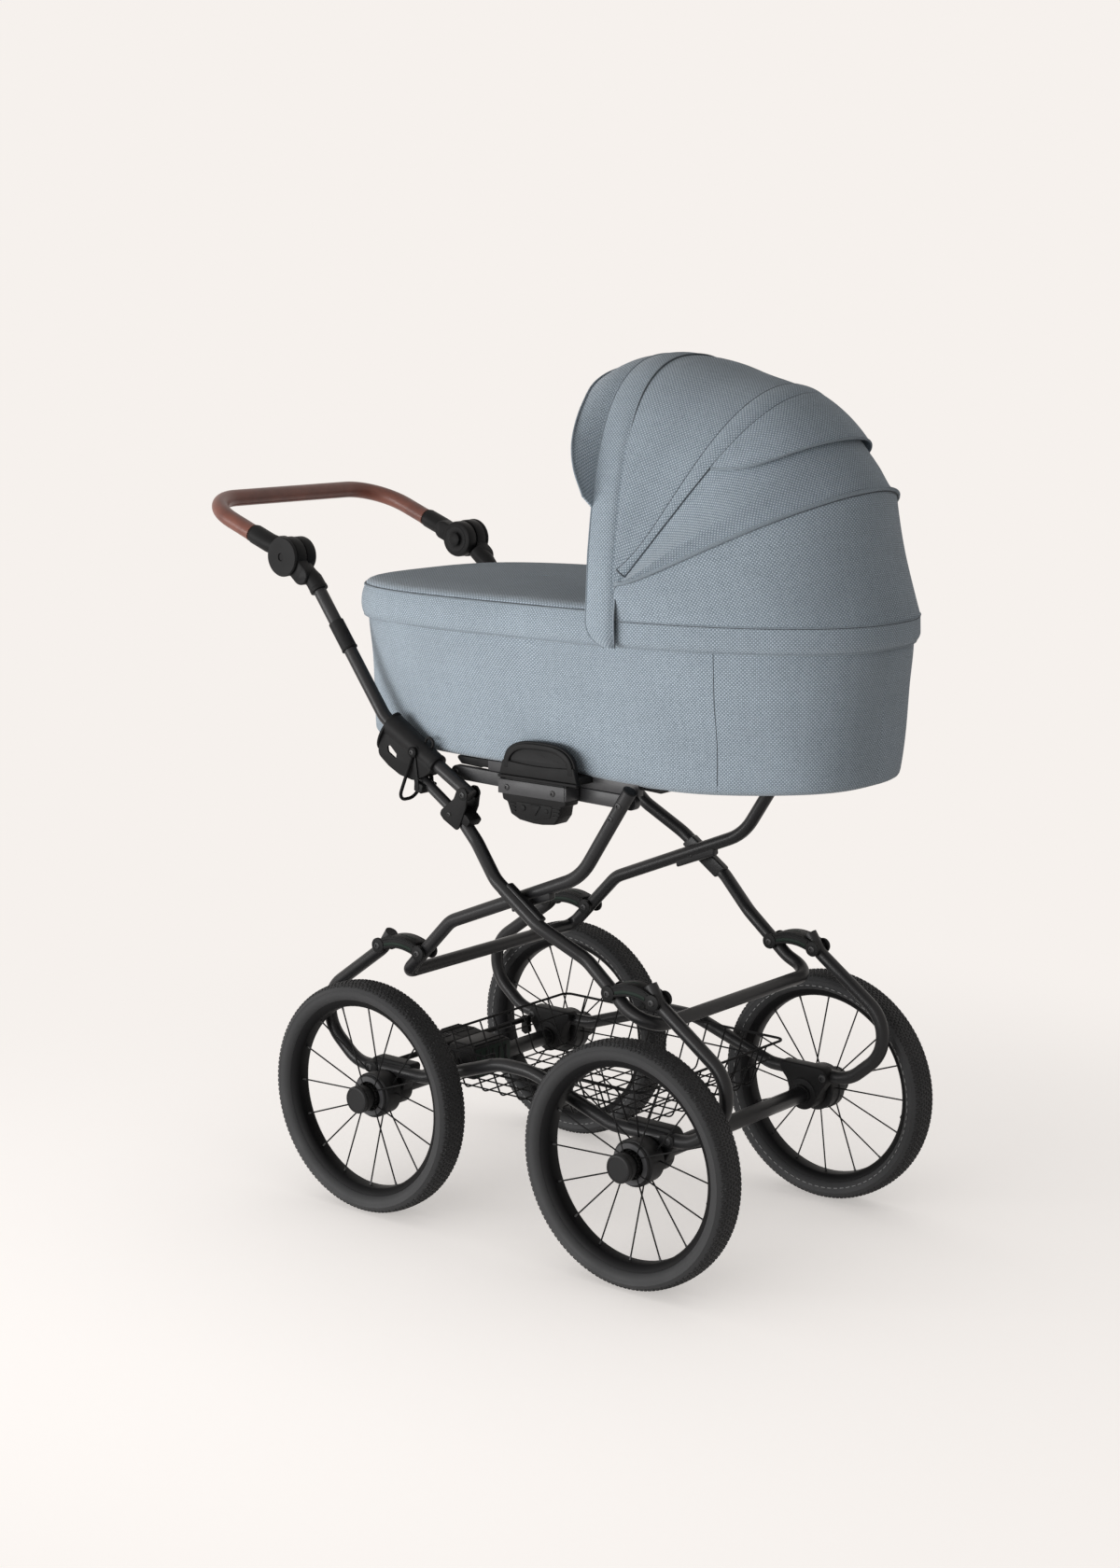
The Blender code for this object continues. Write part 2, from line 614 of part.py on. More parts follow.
def wire_loop(side):
    """The wire bail that hooks under the frame's tongue and keeps the handle from folding."""
    s = SIDES[side]
    y = s * FRAME_Y
    x, z = LOOP_STUD
    out = 0.0195
    corners = [((x, y + out, z - 0.008), 0), ((x - 0.025, y + out, z - 0.068), 0.012), ((x - 0.025, y - out, z - 0.068), 0.012), ((x, y - out, z - 0.008), 0)]
    loop = tube(f"wire_loop_{side}", rounded_path(corners), 0.0016, 6)
    for way in (-1, 1):
        eye = disc("eye", LOOP_STUD, y + way * (out - 0.0013), y + way * (out + 0.0013), 0.0086, 14)
        cut(eye, disc("eye_hole", LOOP_STUD, y + way * 0.012, y + way * 0.025, 0.0051, 12))
        join(loop, eye)
    put(loop, f"wire_loop_{side}", "black_metal")


# Carrycot

# Level, middle x, half length, half width, squareness at the hood end and at the foot end
COT_ROWS = [
    (0.7030, 0.0380, 0.4340, 0.1810, 2.90, 2.50),
    (0.7130, 0.0395, 0.4395, 0.1900, 2.90, 2.50),
    (0.7600, 0.0455, 0.4390, 0.1990, 2.85, 2.60),
    (0.8300, 0.0580, 0.4315, 0.2130, 2.65, 3.00),
    (0.8900, 0.0655, 0.4310, 0.2220, 2.50, 3.35),
    (0.9300, 0.0655, 0.4300, 0.2230, 2.45, 3.40),
]
RIM_ROW = (0.0680, 0.4400, 0.2330, 2.35, 3.40)


def oval(z, middle, half_length, half_width, front_power, rear_power, count=40):
    """A ring of points round the cot: half ovals with their own squareness at each end."""
    ring = []
    for i in range(count):
        angle = 2 * math.pi * i / count
        c, s = math.cos(angle), math.sin(angle)
        power = front_power if c > 0 else rear_power
        x = math.copysign(abs(c) ** (2 / power), c)
        y = math.copysign(abs(s) ** (2 / power), s)
        ring.append((middle + half_length * x, half_width * y, z))
    return ring


def cot_shell():
    """The tub: cloth over a stiff shell, open at the top."""
    wall = 0.010
    outer = [oval(*row) for row in COT_ROWS]
    inner = [oval(z, x, a - wall, b - wall, front, rear) for z, x, a, b, front, rear in reversed(COT_ROWS[1:])]
    put(loft("cot_shell", outer + inner), "cot", "blue_grey_cloth")


def mattress():
    rows = [(0.7140, 0.3980, 0.1700), (0.7220, 0.4080, 0.1770), (0.7380, 0.4080, 0.1770), (0.7460, 0.3980, 0.1700)]
    put(loft("mattress", [oval(z, 0.0420, a, b, 2.90, 2.55) for z, a, b in rows]), "cot", "grey_padding")


def apron():
    """The wind cover over the foot half, with a skirt round the tub's rim."""
    middle_x, a, b, front, rear = RIM_ROW
    outer = [(0.8930, 0), (0.9380, 0.001), (0.9450, 0.006), (0.9490, 0.040), (0.9520, 0.160)]
    inner = [(0.9480, 0.160), (0.9450, 0.040), (0.9400, 0.011), (0.9330, 0.0062), (0.8930, 0.0045)]
    rings = [oval(z, middle_x, a - inset, b - inset, front, rear) for z, inset in outer + inner]
    edit = bmesh.new()
    loops = [[edit.verts.new(point) for point in ring] for ring in rings]
    middle = len(outer)
    order = list(zip(loops, loops[1:] + loops[:1]))
    for index, (low, high) in enumerate(order):
        if index == middle - 1:
            edit.faces.new(low)
            edit.faces.new(high)
            continue
        for i in range(len(low)):
            edit.faces.new((low[i - 1], low[i], high[i], high[i - 1]))
    cover = mesh_object("apron", edit)
    cut(cover, box("hood_end", (0.1930, -0.4, 0.80), (0.70, 0.4, 1.10)))
    put(cover, "cot", "blue_grey_cloth")


# Angle about the hood's pivots, reach, half width and squareness of the cloth there
HOOD_SHAPE = [
    (27.2, 0.3020, 0.2280, 1.85), (30.6, 0.2965, 0.2260, 1.86), (40.0, 0.2985, 0.2225, 1.88),
    (44.0, 0.3060, 0.2210, 1.88), (59.3, 0.3070, 0.2180, 1.90), (68.0, 0.3005, 0.2190, 1.95),
    (77.0, 0.2995, 0.2215, 2.00), (86.0, 0.3055, 0.2245, 2.05), (97.1, 0.3145, 0.2290, 2.10),
]
# The band's front edge and the visor's free edge, as x, half width and z from the top down
VISOR_ROOT = [
    (0.120, 0.000, 1.2860), (0.121, 0.063, 1.2750), (0.124, 0.118, 1.2460), (0.129, 0.156, 1.2080),
    (0.133, 0.183, 1.1690), (0.137, 0.201, 1.1340), (0.140, 0.212, 1.1050), (0.143, 0.2185, 1.0840),
]
VISOR_EDGE = [
    (0.064, 0.000, 1.2650), (0.066, 0.063, 1.2600), (0.073, 0.115, 1.2460), (0.083, 0.155, 1.2240),
    (0.097, 0.187, 1.1950), (0.112, 0.210, 1.1630), (0.126, 0.2225, 1.1310), (0.137, 0.2225, 1.1050),
]


def hood_row(angle, inset=0.0, start=3.0, count=20, shift=0.0):
    """Points over the hood from the left side to the right, in the plane at this angle."""
    for low, high in zip(HOOD_SHAPE, HOOD_SHAPE[1:]):
        if angle <= high[0]:
            break
    share = (angle - low[0]) / (high[0] - low[0])
    reach, half_width, power = [low[k] + (high[k] - low[k]) * share for k in (1, 2, 3)]
    turn = math.radians(angle)
    along, across = Vector((math.cos(turn), 0, math.sin(turn))), Vector((-math.sin(turn), 0, math.cos(turn)))
    foot = Vector((HOOD_PIVOT[0], 0, HOOD_PIVOT[1])) + across * shift
    return [foot + along * x + Vector((0, y, 0)) for x, y in arch(reach - inset, half_width - inset, power, start, count)]


def arch(reach, half_width, power, start, count):
    points = []
    for i in range(count + 1):
        turn = math.radians(start + (180 - 2 * start) * i / count)
        c, s = math.cos(turn), math.sin(turn)
        points.append((reach * abs(s) ** (2 / power), half_width * math.copysign(abs(c) ** (2 / power), c)))
    return points


def base_row(z, inset, count=20):
    """Points round the hood end of the rim, from the left side to the right."""
    middle, half_length, half_width, power, rear_power = RIM_ROW
    edge = math.acos(((HOOD_PIVOT[0] + 0.001 - middle) / half_length) ** (power / 2))
    row = []
    for i in range(count + 1):
        angle = edge * (1 - 2 * i / count)
        c, s = math.cos(angle), math.sin(angle)
        y = math.copysign(abs(s) ** (2 / power), s) * (half_width - inset)
        row.append(Vector((middle + (half_length - inset) * c ** (2 / power), y, z)))
    return row


def hood():
    """The hood's three cloth panels, its middle bow, the front band and the sun visor."""
    gap = 0.0004
    sheets = []
    for inset in (0.0, CLOTH):
        foot, top = base_row(0.9290, inset), hood_row(HOOD_REAR_ANGLE, inset, shift=-gap)
        rows = [base_row(0.8930, inset), foot]
        for share, bulge in ((0.25, 0.005), (0.55, 0.004), (0.85, 0.001)):
            row = [low.lerp(high, share) for low, high in zip(foot, top)]
            rows.append([point + Vector((bulge * math.sin(math.pi * i / 20), 0, 0)) for i, point in enumerate(row)])
        sheets.append(rows + [top])
    put(shell("hood_rear_panel", *sheets), "cot", "blue_grey_cloth")
    fan = (
        ("hood_middle_panel", "hood_middle", [HOOD_REAR_ANGLE, 31, 40, 44, 52, HOOD_MIDDLE_ANGLE]),
        ("hood_front_panel", "hood_front", [HOOD_MIDDLE_ANGLE, 68, 77, 86, HOOD_FRONT_ANGLE]),
    )
    for name, body, angles in fan:
        shifts = [gap] + [0] * (len(angles) - 2) + [-gap]
        sheets = [[hood_row(a, inset, shift=b) for a, b in zip(angles, shifts)] for inset in (0.0, CLOTH)]
        put(shell(name, *sheets), body, "blue_grey_cloth")
    bow = tube("hood_middle_bow", hood_row(HOOD_MIDDLE_ANGLE, 0.0080, 4, 24), 0.0030, 6)
    put(bow, "hood_middle", "black_plastic")
    sheets = []
    for inset in (-0.0015, 0.0035):
        line = hood_row(HOOD_FRONT_ANGLE, inset, 2, 24)
        sheets.append([band_row(line, forward, inset) for forward in (0.0, 0.022, 0.044)])
    put(shell("hood_front_band", *sheets), "hood_front", "blue_grey_cloth")
    sheets = []
    for thickness in (0.0, CLOTH):
        rows = []
        for share in (0.0, 0.35, 0.7, 1.0):
            half = [Vector(a).lerp(Vector(b), share) for a, b in zip(VISOR_ROOT, VISOR_EDGE)]
            half = [Vector((p.x, p.y * (1 - thickness / 0.22), p.z - thickness * (p.z - 1.06) / 0.22)) for p in half]
            rows.append(half[::-1] + [Vector((p.x, -p.y, p.z)) for p in half[1:]])
        sheets.append(rows)
    put(shell("sun_visor", *sheets), "hood_front", "blue_grey_cloth")


def band_row(line, forward, inset):
    """The front bow's line moved forward, with its two ends run down over the rim."""
    rise = 0.006 * min(forward / 0.022, 1)
    moved = [point + Vector((-forward, 0, rise)) for point in line]
    x, y = HOOD_PIVOT[0] - forward, 0.2395 - inset
    left = [Vector((x + 0.004, y, 0.8930)), Vector((x + 0.003, y - 0.001, 0.9350))]
    return left + moved + [Vector((p.x, -p.y, p.z)) for p in reversed(left)]


def cot_catch(side):
    """The arched grip that unclips the cot, with the stiffening rail under the cot's floor."""
    s = SIDES[side]
    arch = []
    for i in range(13):
        turn = math.pi * i / 12
        c, up = math.cos(turn), math.sin(turn)
        arch.append((0.0585 + 0.066 * math.copysign(abs(c) ** 0.7, c), 0.7045 + 0.0415 * up ** 0.75))
    outline = arch + [(-0.0125, 0.6915), (0.1290, 0.6915)]
    grip = plate(f"cot_catch_{side}", outline, s * 0.2075, s * 0.2160)
    join(grip, box("shoulder", (-0.0120, min(s * 0.1720, s * 0.2100), 0.6915), (0.1280, max(s * 0.1720, s * 0.2100), 0.7022)))
    join(grip, box("tongue", (0.002, min(s * 0.1950, s * 0.2060), 0.6825), (0.080, max(s * 0.1950, s * 0.2060), 0.6950)))
    rail_bar = box("rail", (-0.0660, min(s * 0.1680, s * 0.1800), 0.6892), (0.2080, max(s * 0.1680, s * 0.1800), 0.7022))
    join(grip, rail_bar)
    for x in (-0.105, 0.222):
        foot = [(x - 0.030, 0.7022), (x - 0.018, 0.6900), (x + 0.020, 0.6880), (x + 0.050, 0.7022)]
        join(grip, plate("foot", foot, s * 0.1460, s * 0.1740))
        if x > 0:
            join(grip, box("lug", (0.190, min(s * 0.1600, s * 0.1760), 0.6900), (0.215, max(s * 0.1600, s * 0.1760), 0.7022)))
        else:
            join(grip, box("lug", (-0.090, min(s * 0.1600, s * 0.1760), 0.6900), (-0.060, max(s * 0.1600, s * 0.1760), 0.7022)))
    put(grip, "cot", "black_plastic")


# Bodies: each is an empty on its joint's axis, under the body that carries it

def joint_empties():
    spring_tip = {"front": (SPRING_PIN_X, 0, PIN_Z), "rear": (-SPRING_PIN_X, 0, PIN_Z)}
    tree = [
        ("chassis", None, (0, 0, 0)),
        ("rear_links", "chassis", spring_tip["rear"]),
        ("front_links", "chassis", spring_tip["front"]),
        ("inner_frame", "rear_links", (INNER_PIN[0], 0, INNER_PIN[1])),
        ("outer_frame", "front_links", (OUTER_PIN[0], 0, OUTER_PIN[1])),
        ("fold_rails", "inner_frame", (RAIL_FRONT[0], 0, RAIL_FRONT[1])),
        ("handle", "outer_frame", (HANDLE_PIVOT[0], 0, HANDLE_PIVOT[1])),
        ("handle_bar", "handle", (DISC[0], 0, DISC[1])),
        ("brake_pedal", "chassis", (BRAKE_AXIS[0], 0, BRAKE_AXIS[1])),
        ("cot", "chassis", (COT_CENTRE_X, 0, 0.7030)),
        ("hood_front", "cot", (HOOD_PIVOT[0], 0, HOOD_PIVOT[1])),
        ("hood_middle", "cot", (HOOD_PIVOT[0], 0, HOOD_PIVOT[1])),
    ]
    for side, s in SIDES.items():
        tree.append((f"handle_button_{side}", "handle_bar", (DISC[0], s * FRAME_Y, DISC[1])))
        tree.append((f"wire_loop_{side}", "outer_frame", (LOOP_STUD[0], s * FRAME_Y, LOOP_STUD[1])))
        for end, way in ENDS.items():
            centre = (AXLE_X * way, s * WHEEL_Y, WHEEL_RADIUS)
            tree.append((f"wheel_{end}_{side}", "chassis", centre))
            tree.append((f"hub_cap_{end}_{side}", f"wheel_{end}_{side}", centre))
    places = {}
    for name, parent, place in tree:
        empty = add_object(f"{name}_joint", None)
        empty.empty_display_size = 0.03
        places[name] = (empty, Vector(place))
        if parent is None:
            empty.location = (CENTRE_X, 0, 0)
        else:
            empty.parent = places[parent][0]
            empty.location = places[name][1] - places[parent][1]
    return places


BODIES = joint_empties()


def put(obj, body, finish):
    """Gives a piece its finish, moves its origin onto its body's axis and parents it there."""
    empty, place = BODIES[body]
    obj.data.transform(Matrix.Translation(-place))
    obj.parent = empty
    obj.data.materials.clear()
    obj.data.materials.append(finish_material(finish))
    obj.data.shade_smooth()
    obj.data.set_sharp_from_angle(angle=math.radians(35))


def main():
    for side in SIDES:
        spring_tube(side)
        for end in ENDS:
            wheel_parts(end, side)
            axle_bracket(end, side)
            link(end, side)
        rail(side)
        adapter(side)
        hinge_bracket(side)
        handle_tube(side)
        lock_housing(side)
        handle_socket(side)
        handle_knuckle(side)
        wire_loop(side)
        cot_catch(side)
    for end in ENDS:
        axle_tube(end)
    wire_basket()
    brake()
    outer_frame()
    inner_frame()
    handle_bar()
    cot_shell()
    mattress()
    apron()
    hood()


main()
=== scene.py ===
# %% [markdown]
# # A classic pram, piece by piece
# The real pram has a carrycot with a folding hood on a frame of bent tube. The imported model
# gives every solid its place and its motion. This lesson dresses those solids: woven cloth,
# powder-coated tube, moulded plastic, rubber and leather, each built where its solid is.

import random
from math import acos, atan, atan2, ceil, copysign, cos, degrees, exp, hypot, pi, radians, sin, sqrt, tan

import bmesh
import bpy
from mathutils import Matrix, Vector, noise


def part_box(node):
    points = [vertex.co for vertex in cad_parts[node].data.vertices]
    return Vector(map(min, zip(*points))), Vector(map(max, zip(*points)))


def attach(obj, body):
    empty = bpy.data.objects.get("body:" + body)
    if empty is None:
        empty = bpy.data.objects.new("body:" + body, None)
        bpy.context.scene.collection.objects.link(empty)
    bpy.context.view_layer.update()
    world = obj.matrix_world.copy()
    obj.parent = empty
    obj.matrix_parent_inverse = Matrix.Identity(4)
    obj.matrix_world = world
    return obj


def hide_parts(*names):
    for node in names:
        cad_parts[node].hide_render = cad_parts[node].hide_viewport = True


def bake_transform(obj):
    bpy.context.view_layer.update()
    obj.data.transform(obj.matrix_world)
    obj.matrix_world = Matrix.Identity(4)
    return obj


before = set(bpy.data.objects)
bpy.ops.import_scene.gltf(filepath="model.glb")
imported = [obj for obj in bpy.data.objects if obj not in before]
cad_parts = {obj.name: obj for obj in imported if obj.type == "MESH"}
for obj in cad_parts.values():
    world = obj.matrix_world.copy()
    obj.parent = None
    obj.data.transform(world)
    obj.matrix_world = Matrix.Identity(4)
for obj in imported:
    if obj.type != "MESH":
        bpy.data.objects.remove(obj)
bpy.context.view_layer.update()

# %% [markdown]
# ## Where things are
# Lengths are metres. The model's origin is the middle of its outline, but a frame like this is
# easiest to set out from the point midway between the axles, so every piece is made from there
# and moved by `MIDDLE` when it is finished. +X is the hood end, and the handle is at -X.

# %% Find the point midway between the axles
def middle_of(node):
    low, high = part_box(node)
    return (low + high) / 2


def new_object(name, data):
    made = bpy.data.objects.new(name, data)
    bpy.context.scene.collection.objects.link(made)
    return made


def mm(*rows):
    """Rows of numbers in millimetres, as metres."""
    return [tuple(number / 1000 for number in row) for row in rows]


front_hub, rear_hub = middle_of("front_axle"), middle_of("rear_axle")
MIDDLE = Vector(((front_hub.x + rear_hub.x) / 2, 0, 0))
AXLE_X = (front_hub.x - rear_hub.x) / 2
WHEEL_RADIUS = front_hub.z
SIDES = {"right": -1, "left": 1}
ENDS = {"front": 1, "rear": -1}
FRAME_Y = 0.197
TUBE_RADIUS = 0.01
print("axles", round(2 * AXLE_X, 4), "apart, wheel radius", round(WHEEL_RADIUS, 4))

# %% [markdown]
# ## The camera
# The picture was taken from the front right, a little above the hood, with a long lens. The
# camera stands at the same spot, because matching the perspective decides every outline.

# %% Make the camera
SENSOR = 36.0
LENS = 59.43
CAMERA_PLACE = Vector((2.348, -2.959, 1.345)) + MIDDLE
CAMERA_TURN = 39.3586
CAMERA_DIP = 10.4376
camera_data = bpy.data.cameras.new("camera")
camera_data.lens = LENS
camera_data.sensor_width = SENSOR
camera_data.clip_end = 100
camera = new_object("camera", camera_data)
camera.location = CAMERA_PLACE
camera.rotation_euler = (radians(90 - CAMERA_DIP), 0, radians(CAMERA_TURN))
bpy.context.scene.camera = camera
print("camera at", [round(v, 3) for v in camera.location])

# %% [markdown]
# ## Node helpers
# A material is a small tree of nodes. Effects that several materials share, such as the weave,
# the moulded grain and the pale edges that are partly wear and partly painted highlight, are
# built once as node groups with named sockets.

# %% Helpers that add and join nodes
def add_node(tree, kind, inputs=None, **settings):
    """A shader node with its settings, whose inputs are linked or given values."""
    node = tree.nodes.new("ShaderNode" + kind)
    for name, value in settings.items():
        setattr(node, name, value)
    for name, value in (inputs or {}).items():
        if isinstance(value, bpy.types.NodeSocket):
            tree.links.new(value, node.inputs[name])
        else:
            node.inputs[name].default_value = value
    return node


def result_of(tree, kind, inputs=None, **settings):
    """The first output of such a node."""
    return add_node(tree, kind, inputs, **settings).outputs[0]


def maths(tree, operation, first, second=0.0, third=0.0):
    return result_of(tree, "Math", {0: first, 1: second, 2: third}, operation=operation)


def remap(tree, value, low, high, to_low=0.0, to_high=1.0, **settings):
    """The value moved from one range to another, and held inside it."""
    return result_of(tree, "MapRange", {0: value, 1: low, 2: high, 3: to_low, 4: to_high}, **settings)


def speckle(tree, place, scale, detail):
    return result_of(tree, "TexNoise", {"Vector": place, "Scale": scale, "Detail": detail})


def mix_colours(tree, share, first, second):
    colours = {0: share, 6: (*first, 1), 7: (*second, 1)}
    return add_node(tree, "Mix", colours, data_type="RGBA").outputs[2]


def raise_surface(tree, shader, height, strength, distance):
    normal = result_of(tree, "Bump", {"Height": height, "Strength": strength, "Distance": distance})
    tree.links.new(normal, shader.inputs["Normal"])


def new_group(name, inputs, outputs):
    """An empty node group that takes a vector and the named values, with its own sockets."""
    tree = bpy.data.node_groups.new(name, "ShaderNodeTree")
    tree.interface.new_socket("Vector", in_out="INPUT", socket_type="NodeSocketVector")
    for label, value in inputs.items():
        socket = tree.interface.new_socket(label, in_out="INPUT", socket_type="NodeSocketFloat")
        socket.default_value = value
    for label in outputs:
        tree.interface.new_socket(label, in_out="OUTPUT", socket_type="NodeSocketFloat")
    return tree, tree.nodes.new("NodeGroupInput").outputs, tree.nodes.new("NodeGroupOutput").inputs


def use_group(tree, group, inputs):
    return add_node(tree, "Group", inputs, node_tree=group).outputs


def new_material(name, roughness, metallic=0.0, specular=0.5):
    """A material with its tree and its Principled shader."""
    material = bpy.data.materials.new(name)
    material.use_nodes = True
    shader = material.node_tree.nodes["Principled BSDF"]
    shader.inputs["Roughness"].default_value = roughness
    shader.inputs["Metallic"].default_value = metallic
    shader.inputs["Specular IOR Level"].default_value = specular
    return material, material.node_tree, shader


print("node helpers ready")

# %% [markdown]
# ## The weave
# The cloth is a plain weave of thick melange yarn, and its threads are about 2.5 mm apart. Warp
# and weft pass over each other in turn, so a checker of squares decides which thread is on top,
# and a sine across each thread makes it round. The threads run along a UV map in metres, which
# follows the cloth, so the weave bends with every panel.

# %% Build the weave group
def build_weave():
    names = ("Height", "Warp", "Yarn", "Stitch")
    tree, given, out = new_group("plain_weave", {"Pitch": 0.002}, names)
    parts = add_node(tree, "SeparateXYZ", {0: given["Vector"]}).outputs
    rounds, numbers = [], []
    for axis in "XY":
        place = maths(tree, "DIVIDE", parts[axis], given["Pitch"])
        rounds.append(maths(tree, "SINE", maths(tree, "MULTIPLY", maths(tree, "FRACT", place), pi)))
        numbers.append(maths(tree, "FLOOR", place))
    on_top = maths(tree, "FLOORED_MODULO", maths(tree, "ADD", *numbers), 2.0)
    crown = result_of(tree, "Mix", {0: on_top, 2: rounds[0], 3: rounds[1]})
    hump = maths(tree, "MULTIPLY", *rounds)
    height = maths(tree, "MULTIPLY_ADD", hump, 0.45, maths(tree, "MULTIPLY", crown, 0.55))
    thread = result_of(tree, "Mix", {0: on_top, 2: numbers[0], 3: numbers[1]})
    thread = maths(tree, "MULTIPLY_ADD", on_top, 511.0, thread)
    yarn = result_of(tree, "TexWhiteNoise", {"W": thread}, noise_dimensions="1D")
    square = result_of(tree, "CombineXYZ", {"X": numbers[0], "Y": numbers[1]})
    stitch = result_of(tree, "TexWhiteNoise", {"Vector": square}, noise_dimensions="2D")
    for name, value in zip(names, (height, on_top, yarn, stitch)):
        tree.links.new(value, out[name])
    return tree


WEAVE = build_weave()
print("weave group nodes:", len(WEAVE.nodes))

# %% Build the moulded grain group and the group of pale edges, partly wear and partly painted highlight
def build_grain():
    """Fine pebbles over slow, soft unevenness, as moulded plastic and coated tube have."""
    tree, given, out = new_group("fine_grain", {"Scale": 900.0}, ("Height", "Cloud"))
    tree.links.new(speckle(tree, given["Vector"], given["Scale"], 3.0), out["Height"])
    tree.links.new(speckle(tree, given["Vector"], 14.0, 4.0), out["Cloud"])
    return tree


def build_rubbed_and_highlight_edges():
    """A mask of outer edges, broken up by noise: paler edges that are partly wear and partly painted highlight.
    """
    tree, given, out = new_group("rubbed_and_highlight_edges", {"Amount": 1.0}, ("Mask",))
    edge = remap(tree, add_node(tree, "NewGeometry").outputs["Pointiness"], 0.53, 0.62)
    broken = maths(tree, "MULTIPLY", edge, speckle(tree, given["Vector"], 45.0, 5.0))
    tree.links.new(maths(tree, "MULTIPLY", broken, given["Amount"]), out["Mask"])
    return tree


GRAIN, RUBBED_AND_HIGHLIGHT_EDGES = build_grain(), build_rubbed_and_highlight_edges()
print("groups:", [tree.name for tree in bpy.data.node_groups])

# %% [markdown]
# ## Finishes
# Cloth takes the weave for its colour and its bump. Its colour is darker where the weave is low,
# between the threads, which is painted shade. The yarn is a melange, so each place where two
# threads cross has its own shade, and short fibres of noise run through it.

# %% Make the cloths
def make_cloth(name, dark, light, pitch=0.0025, relief=0.0008):
    material, tree, shader = new_material(name, 0.88, specular=0.25)
    shader.inputs["Sheen Weight"].default_value = 0.25
    shader.inputs["Sheen Roughness"].default_value = 0.5
    place = add_node(tree, "TexCoord").outputs["UV"]
    weave = use_group(tree, WEAVE, {"Vector": place, "Pitch": pitch})
    fibre = speckle(tree, place, 700.0, 2.0)
    tone = maths(tree, "MULTIPLY", weave["Warp"], 0.46)
    for value, weight in ((weave["Yarn"], 0.07), (weave["Stitch"], 0.12), (fibre, 0.26)):
        tone = maths(tree, "MULTIPLY_ADD", value, weight, tone)
    # Where the weave is low, between the threads, the colour is darkened: painted shade in its hollows.
    gap = remap(tree, weave["Height"], 0.1, 0.62, 0.5, 1.08)
    drift = remap(tree, speckle(tree, place, 9.0, 3.0), 0.3, 0.7, 0.95, 1.05)
    shade = {0: mix_colours(tree, tone, dark, light), "Scale": maths(tree, "MULTIPLY", gap, drift)}
    tree.links.new(result_of(tree, "VectorMath", shade, operation="SCALE"), shader.inputs["Base Color"])
    raise_surface(tree, shader, weave["Height"], 0.6, relief)
    return material


COVER_CLOTH = make_cloth("blue_grey_weave", (0.14, 0.183, 0.22), (0.58, 0.668, 0.752))
# SEAM_SHADOW_CLOTH is a near-black copy of the weave. Laid as thin lines beside seams and piping, it is painted
# shadow.
SEAM_SHADOW_CLOTH = make_cloth("seam_shadow_weave", (0.05, 0.062, 0.075), (0.12, 0.145, 0.17), 0.0012)
LINING_CLOTH = make_cloth("pale_lining", (0.46, 0.48, 0.5), (0.66, 0.68, 0.7), 0.0009, 0.0003)
print("cloths:", COVER_CLOTH.name, SEAM_SHADOW_CLOTH.name, LINING_CLOTH.name)

# %% Make the hard finishes
def make_hard(name, colour, rubbed_and_highlight_colour, roughness, specular, metallic=0.0, grain=900.0, relief=0.00006,
              rub_and_highlight=0.6, speck=0.0):
    """A coated or moulded finish: fine grain, cloudy gloss, paler edges that are partly wear and
    partly painted highlight, and pale specks that are painted glints.
    """
    material, tree, shader = new_material(name, roughness, metallic, specular)
    place = add_node(tree, "TexCoord").outputs["Object"]
    grained = use_group(tree, GRAIN, {"Vector": place, "Scale": grain})
    # Outer edges are paled: partly wear, partly painted highlight.
    edges = use_group(tree, RUBBED_AND_HIGHLIGHT_EDGES, {"Vector": place, "Amount": rub_and_highlight})["Mask"]
    # Where speck is above zero, the grain's peaks turn pale: painted glints.
    pale = maths(tree, "MAXIMUM", edges, remap(tree, grained["Height"], 0.58, 0.66, 0.0, speck))
    tree.links.new(mix_colours(tree, pale, colour, rubbed_and_highlight_colour), shader.inputs["Base Color"])
    gloss = remap(tree, grained["Cloud"], 0.3, 0.7, roughness - 0.06, roughness + 0.08)
    tree.links.new(gloss, shader.inputs["Roughness"])
    raise_surface(tree, shader, grained["Height"], 0.5, relief)
    return material


COAT_GRAIN = {"grain": 1400.0, "relief": 0.00003}
TUBE_COAT = make_hard("satin_black_coat", (0.0145, 0.0145, 0.0155), (0.05, 0.05, 0.052), 0.36, 0.25,
                      **COAT_GRAIN)
PLASTIC = make_hard("moulded_black_plastic", (0.0085, 0.0085, 0.0088), (0.03, 0.03, 0.031), 0.5, 0.12)
HUB_PLASTIC = make_hard("moulded_grey_plastic", (0.017, 0.017, 0.0176), (0.05, 0.05, 0.051), 0.46, 0.15)
GREEN_INLAY = make_hard("green_black_inlay", (0.011, 0.02, 0.015), (0.03, 0.045, 0.036), 0.52, 0.12)
FLAT_BAR = make_hard("satin_grey_bar", (0.03, 0.03, 0.032), (0.1, 0.1, 0.105), 0.4, 0.35, **COAT_GRAIN)
SCREW_STEEL = make_hard("blackened_screw", (0.03, 0.03, 0.031), (0.14, 0.14, 0.14), 0.4, 0.2, 0.5)
SPOKE_WIRE = make_hard("black_wire", (0.004, 0.004, 0.0045), (0.02, 0.02, 0.02), 0.5, 0.1)
SIDEWALL = make_hard("sidewall_rubber", (0.036, 0.0365, 0.038), (0.05, 0.05, 0.05), 0.62, 0.3,
                     grain=500.0, relief=0.0001)
# The tread's pale specks are painted glints, and its pale edges are partly painted highlight.
TREAD_RUBBER = make_hard("tread_rubber", (0.008, 0.008, 0.0085), (0.11, 0.11, 0.112), 0.65, 0.25,
                         grain=420.0, relief=0.0005, rub_and_highlight=0.2, speck=0.55)
REFLECTIVE_THREAD = make_hard("pale_reflective_thread", (0.22, 0.22, 0.22), (0.35, 0.35, 0.35), 0.4, 0.5)
print("hard finishes made")

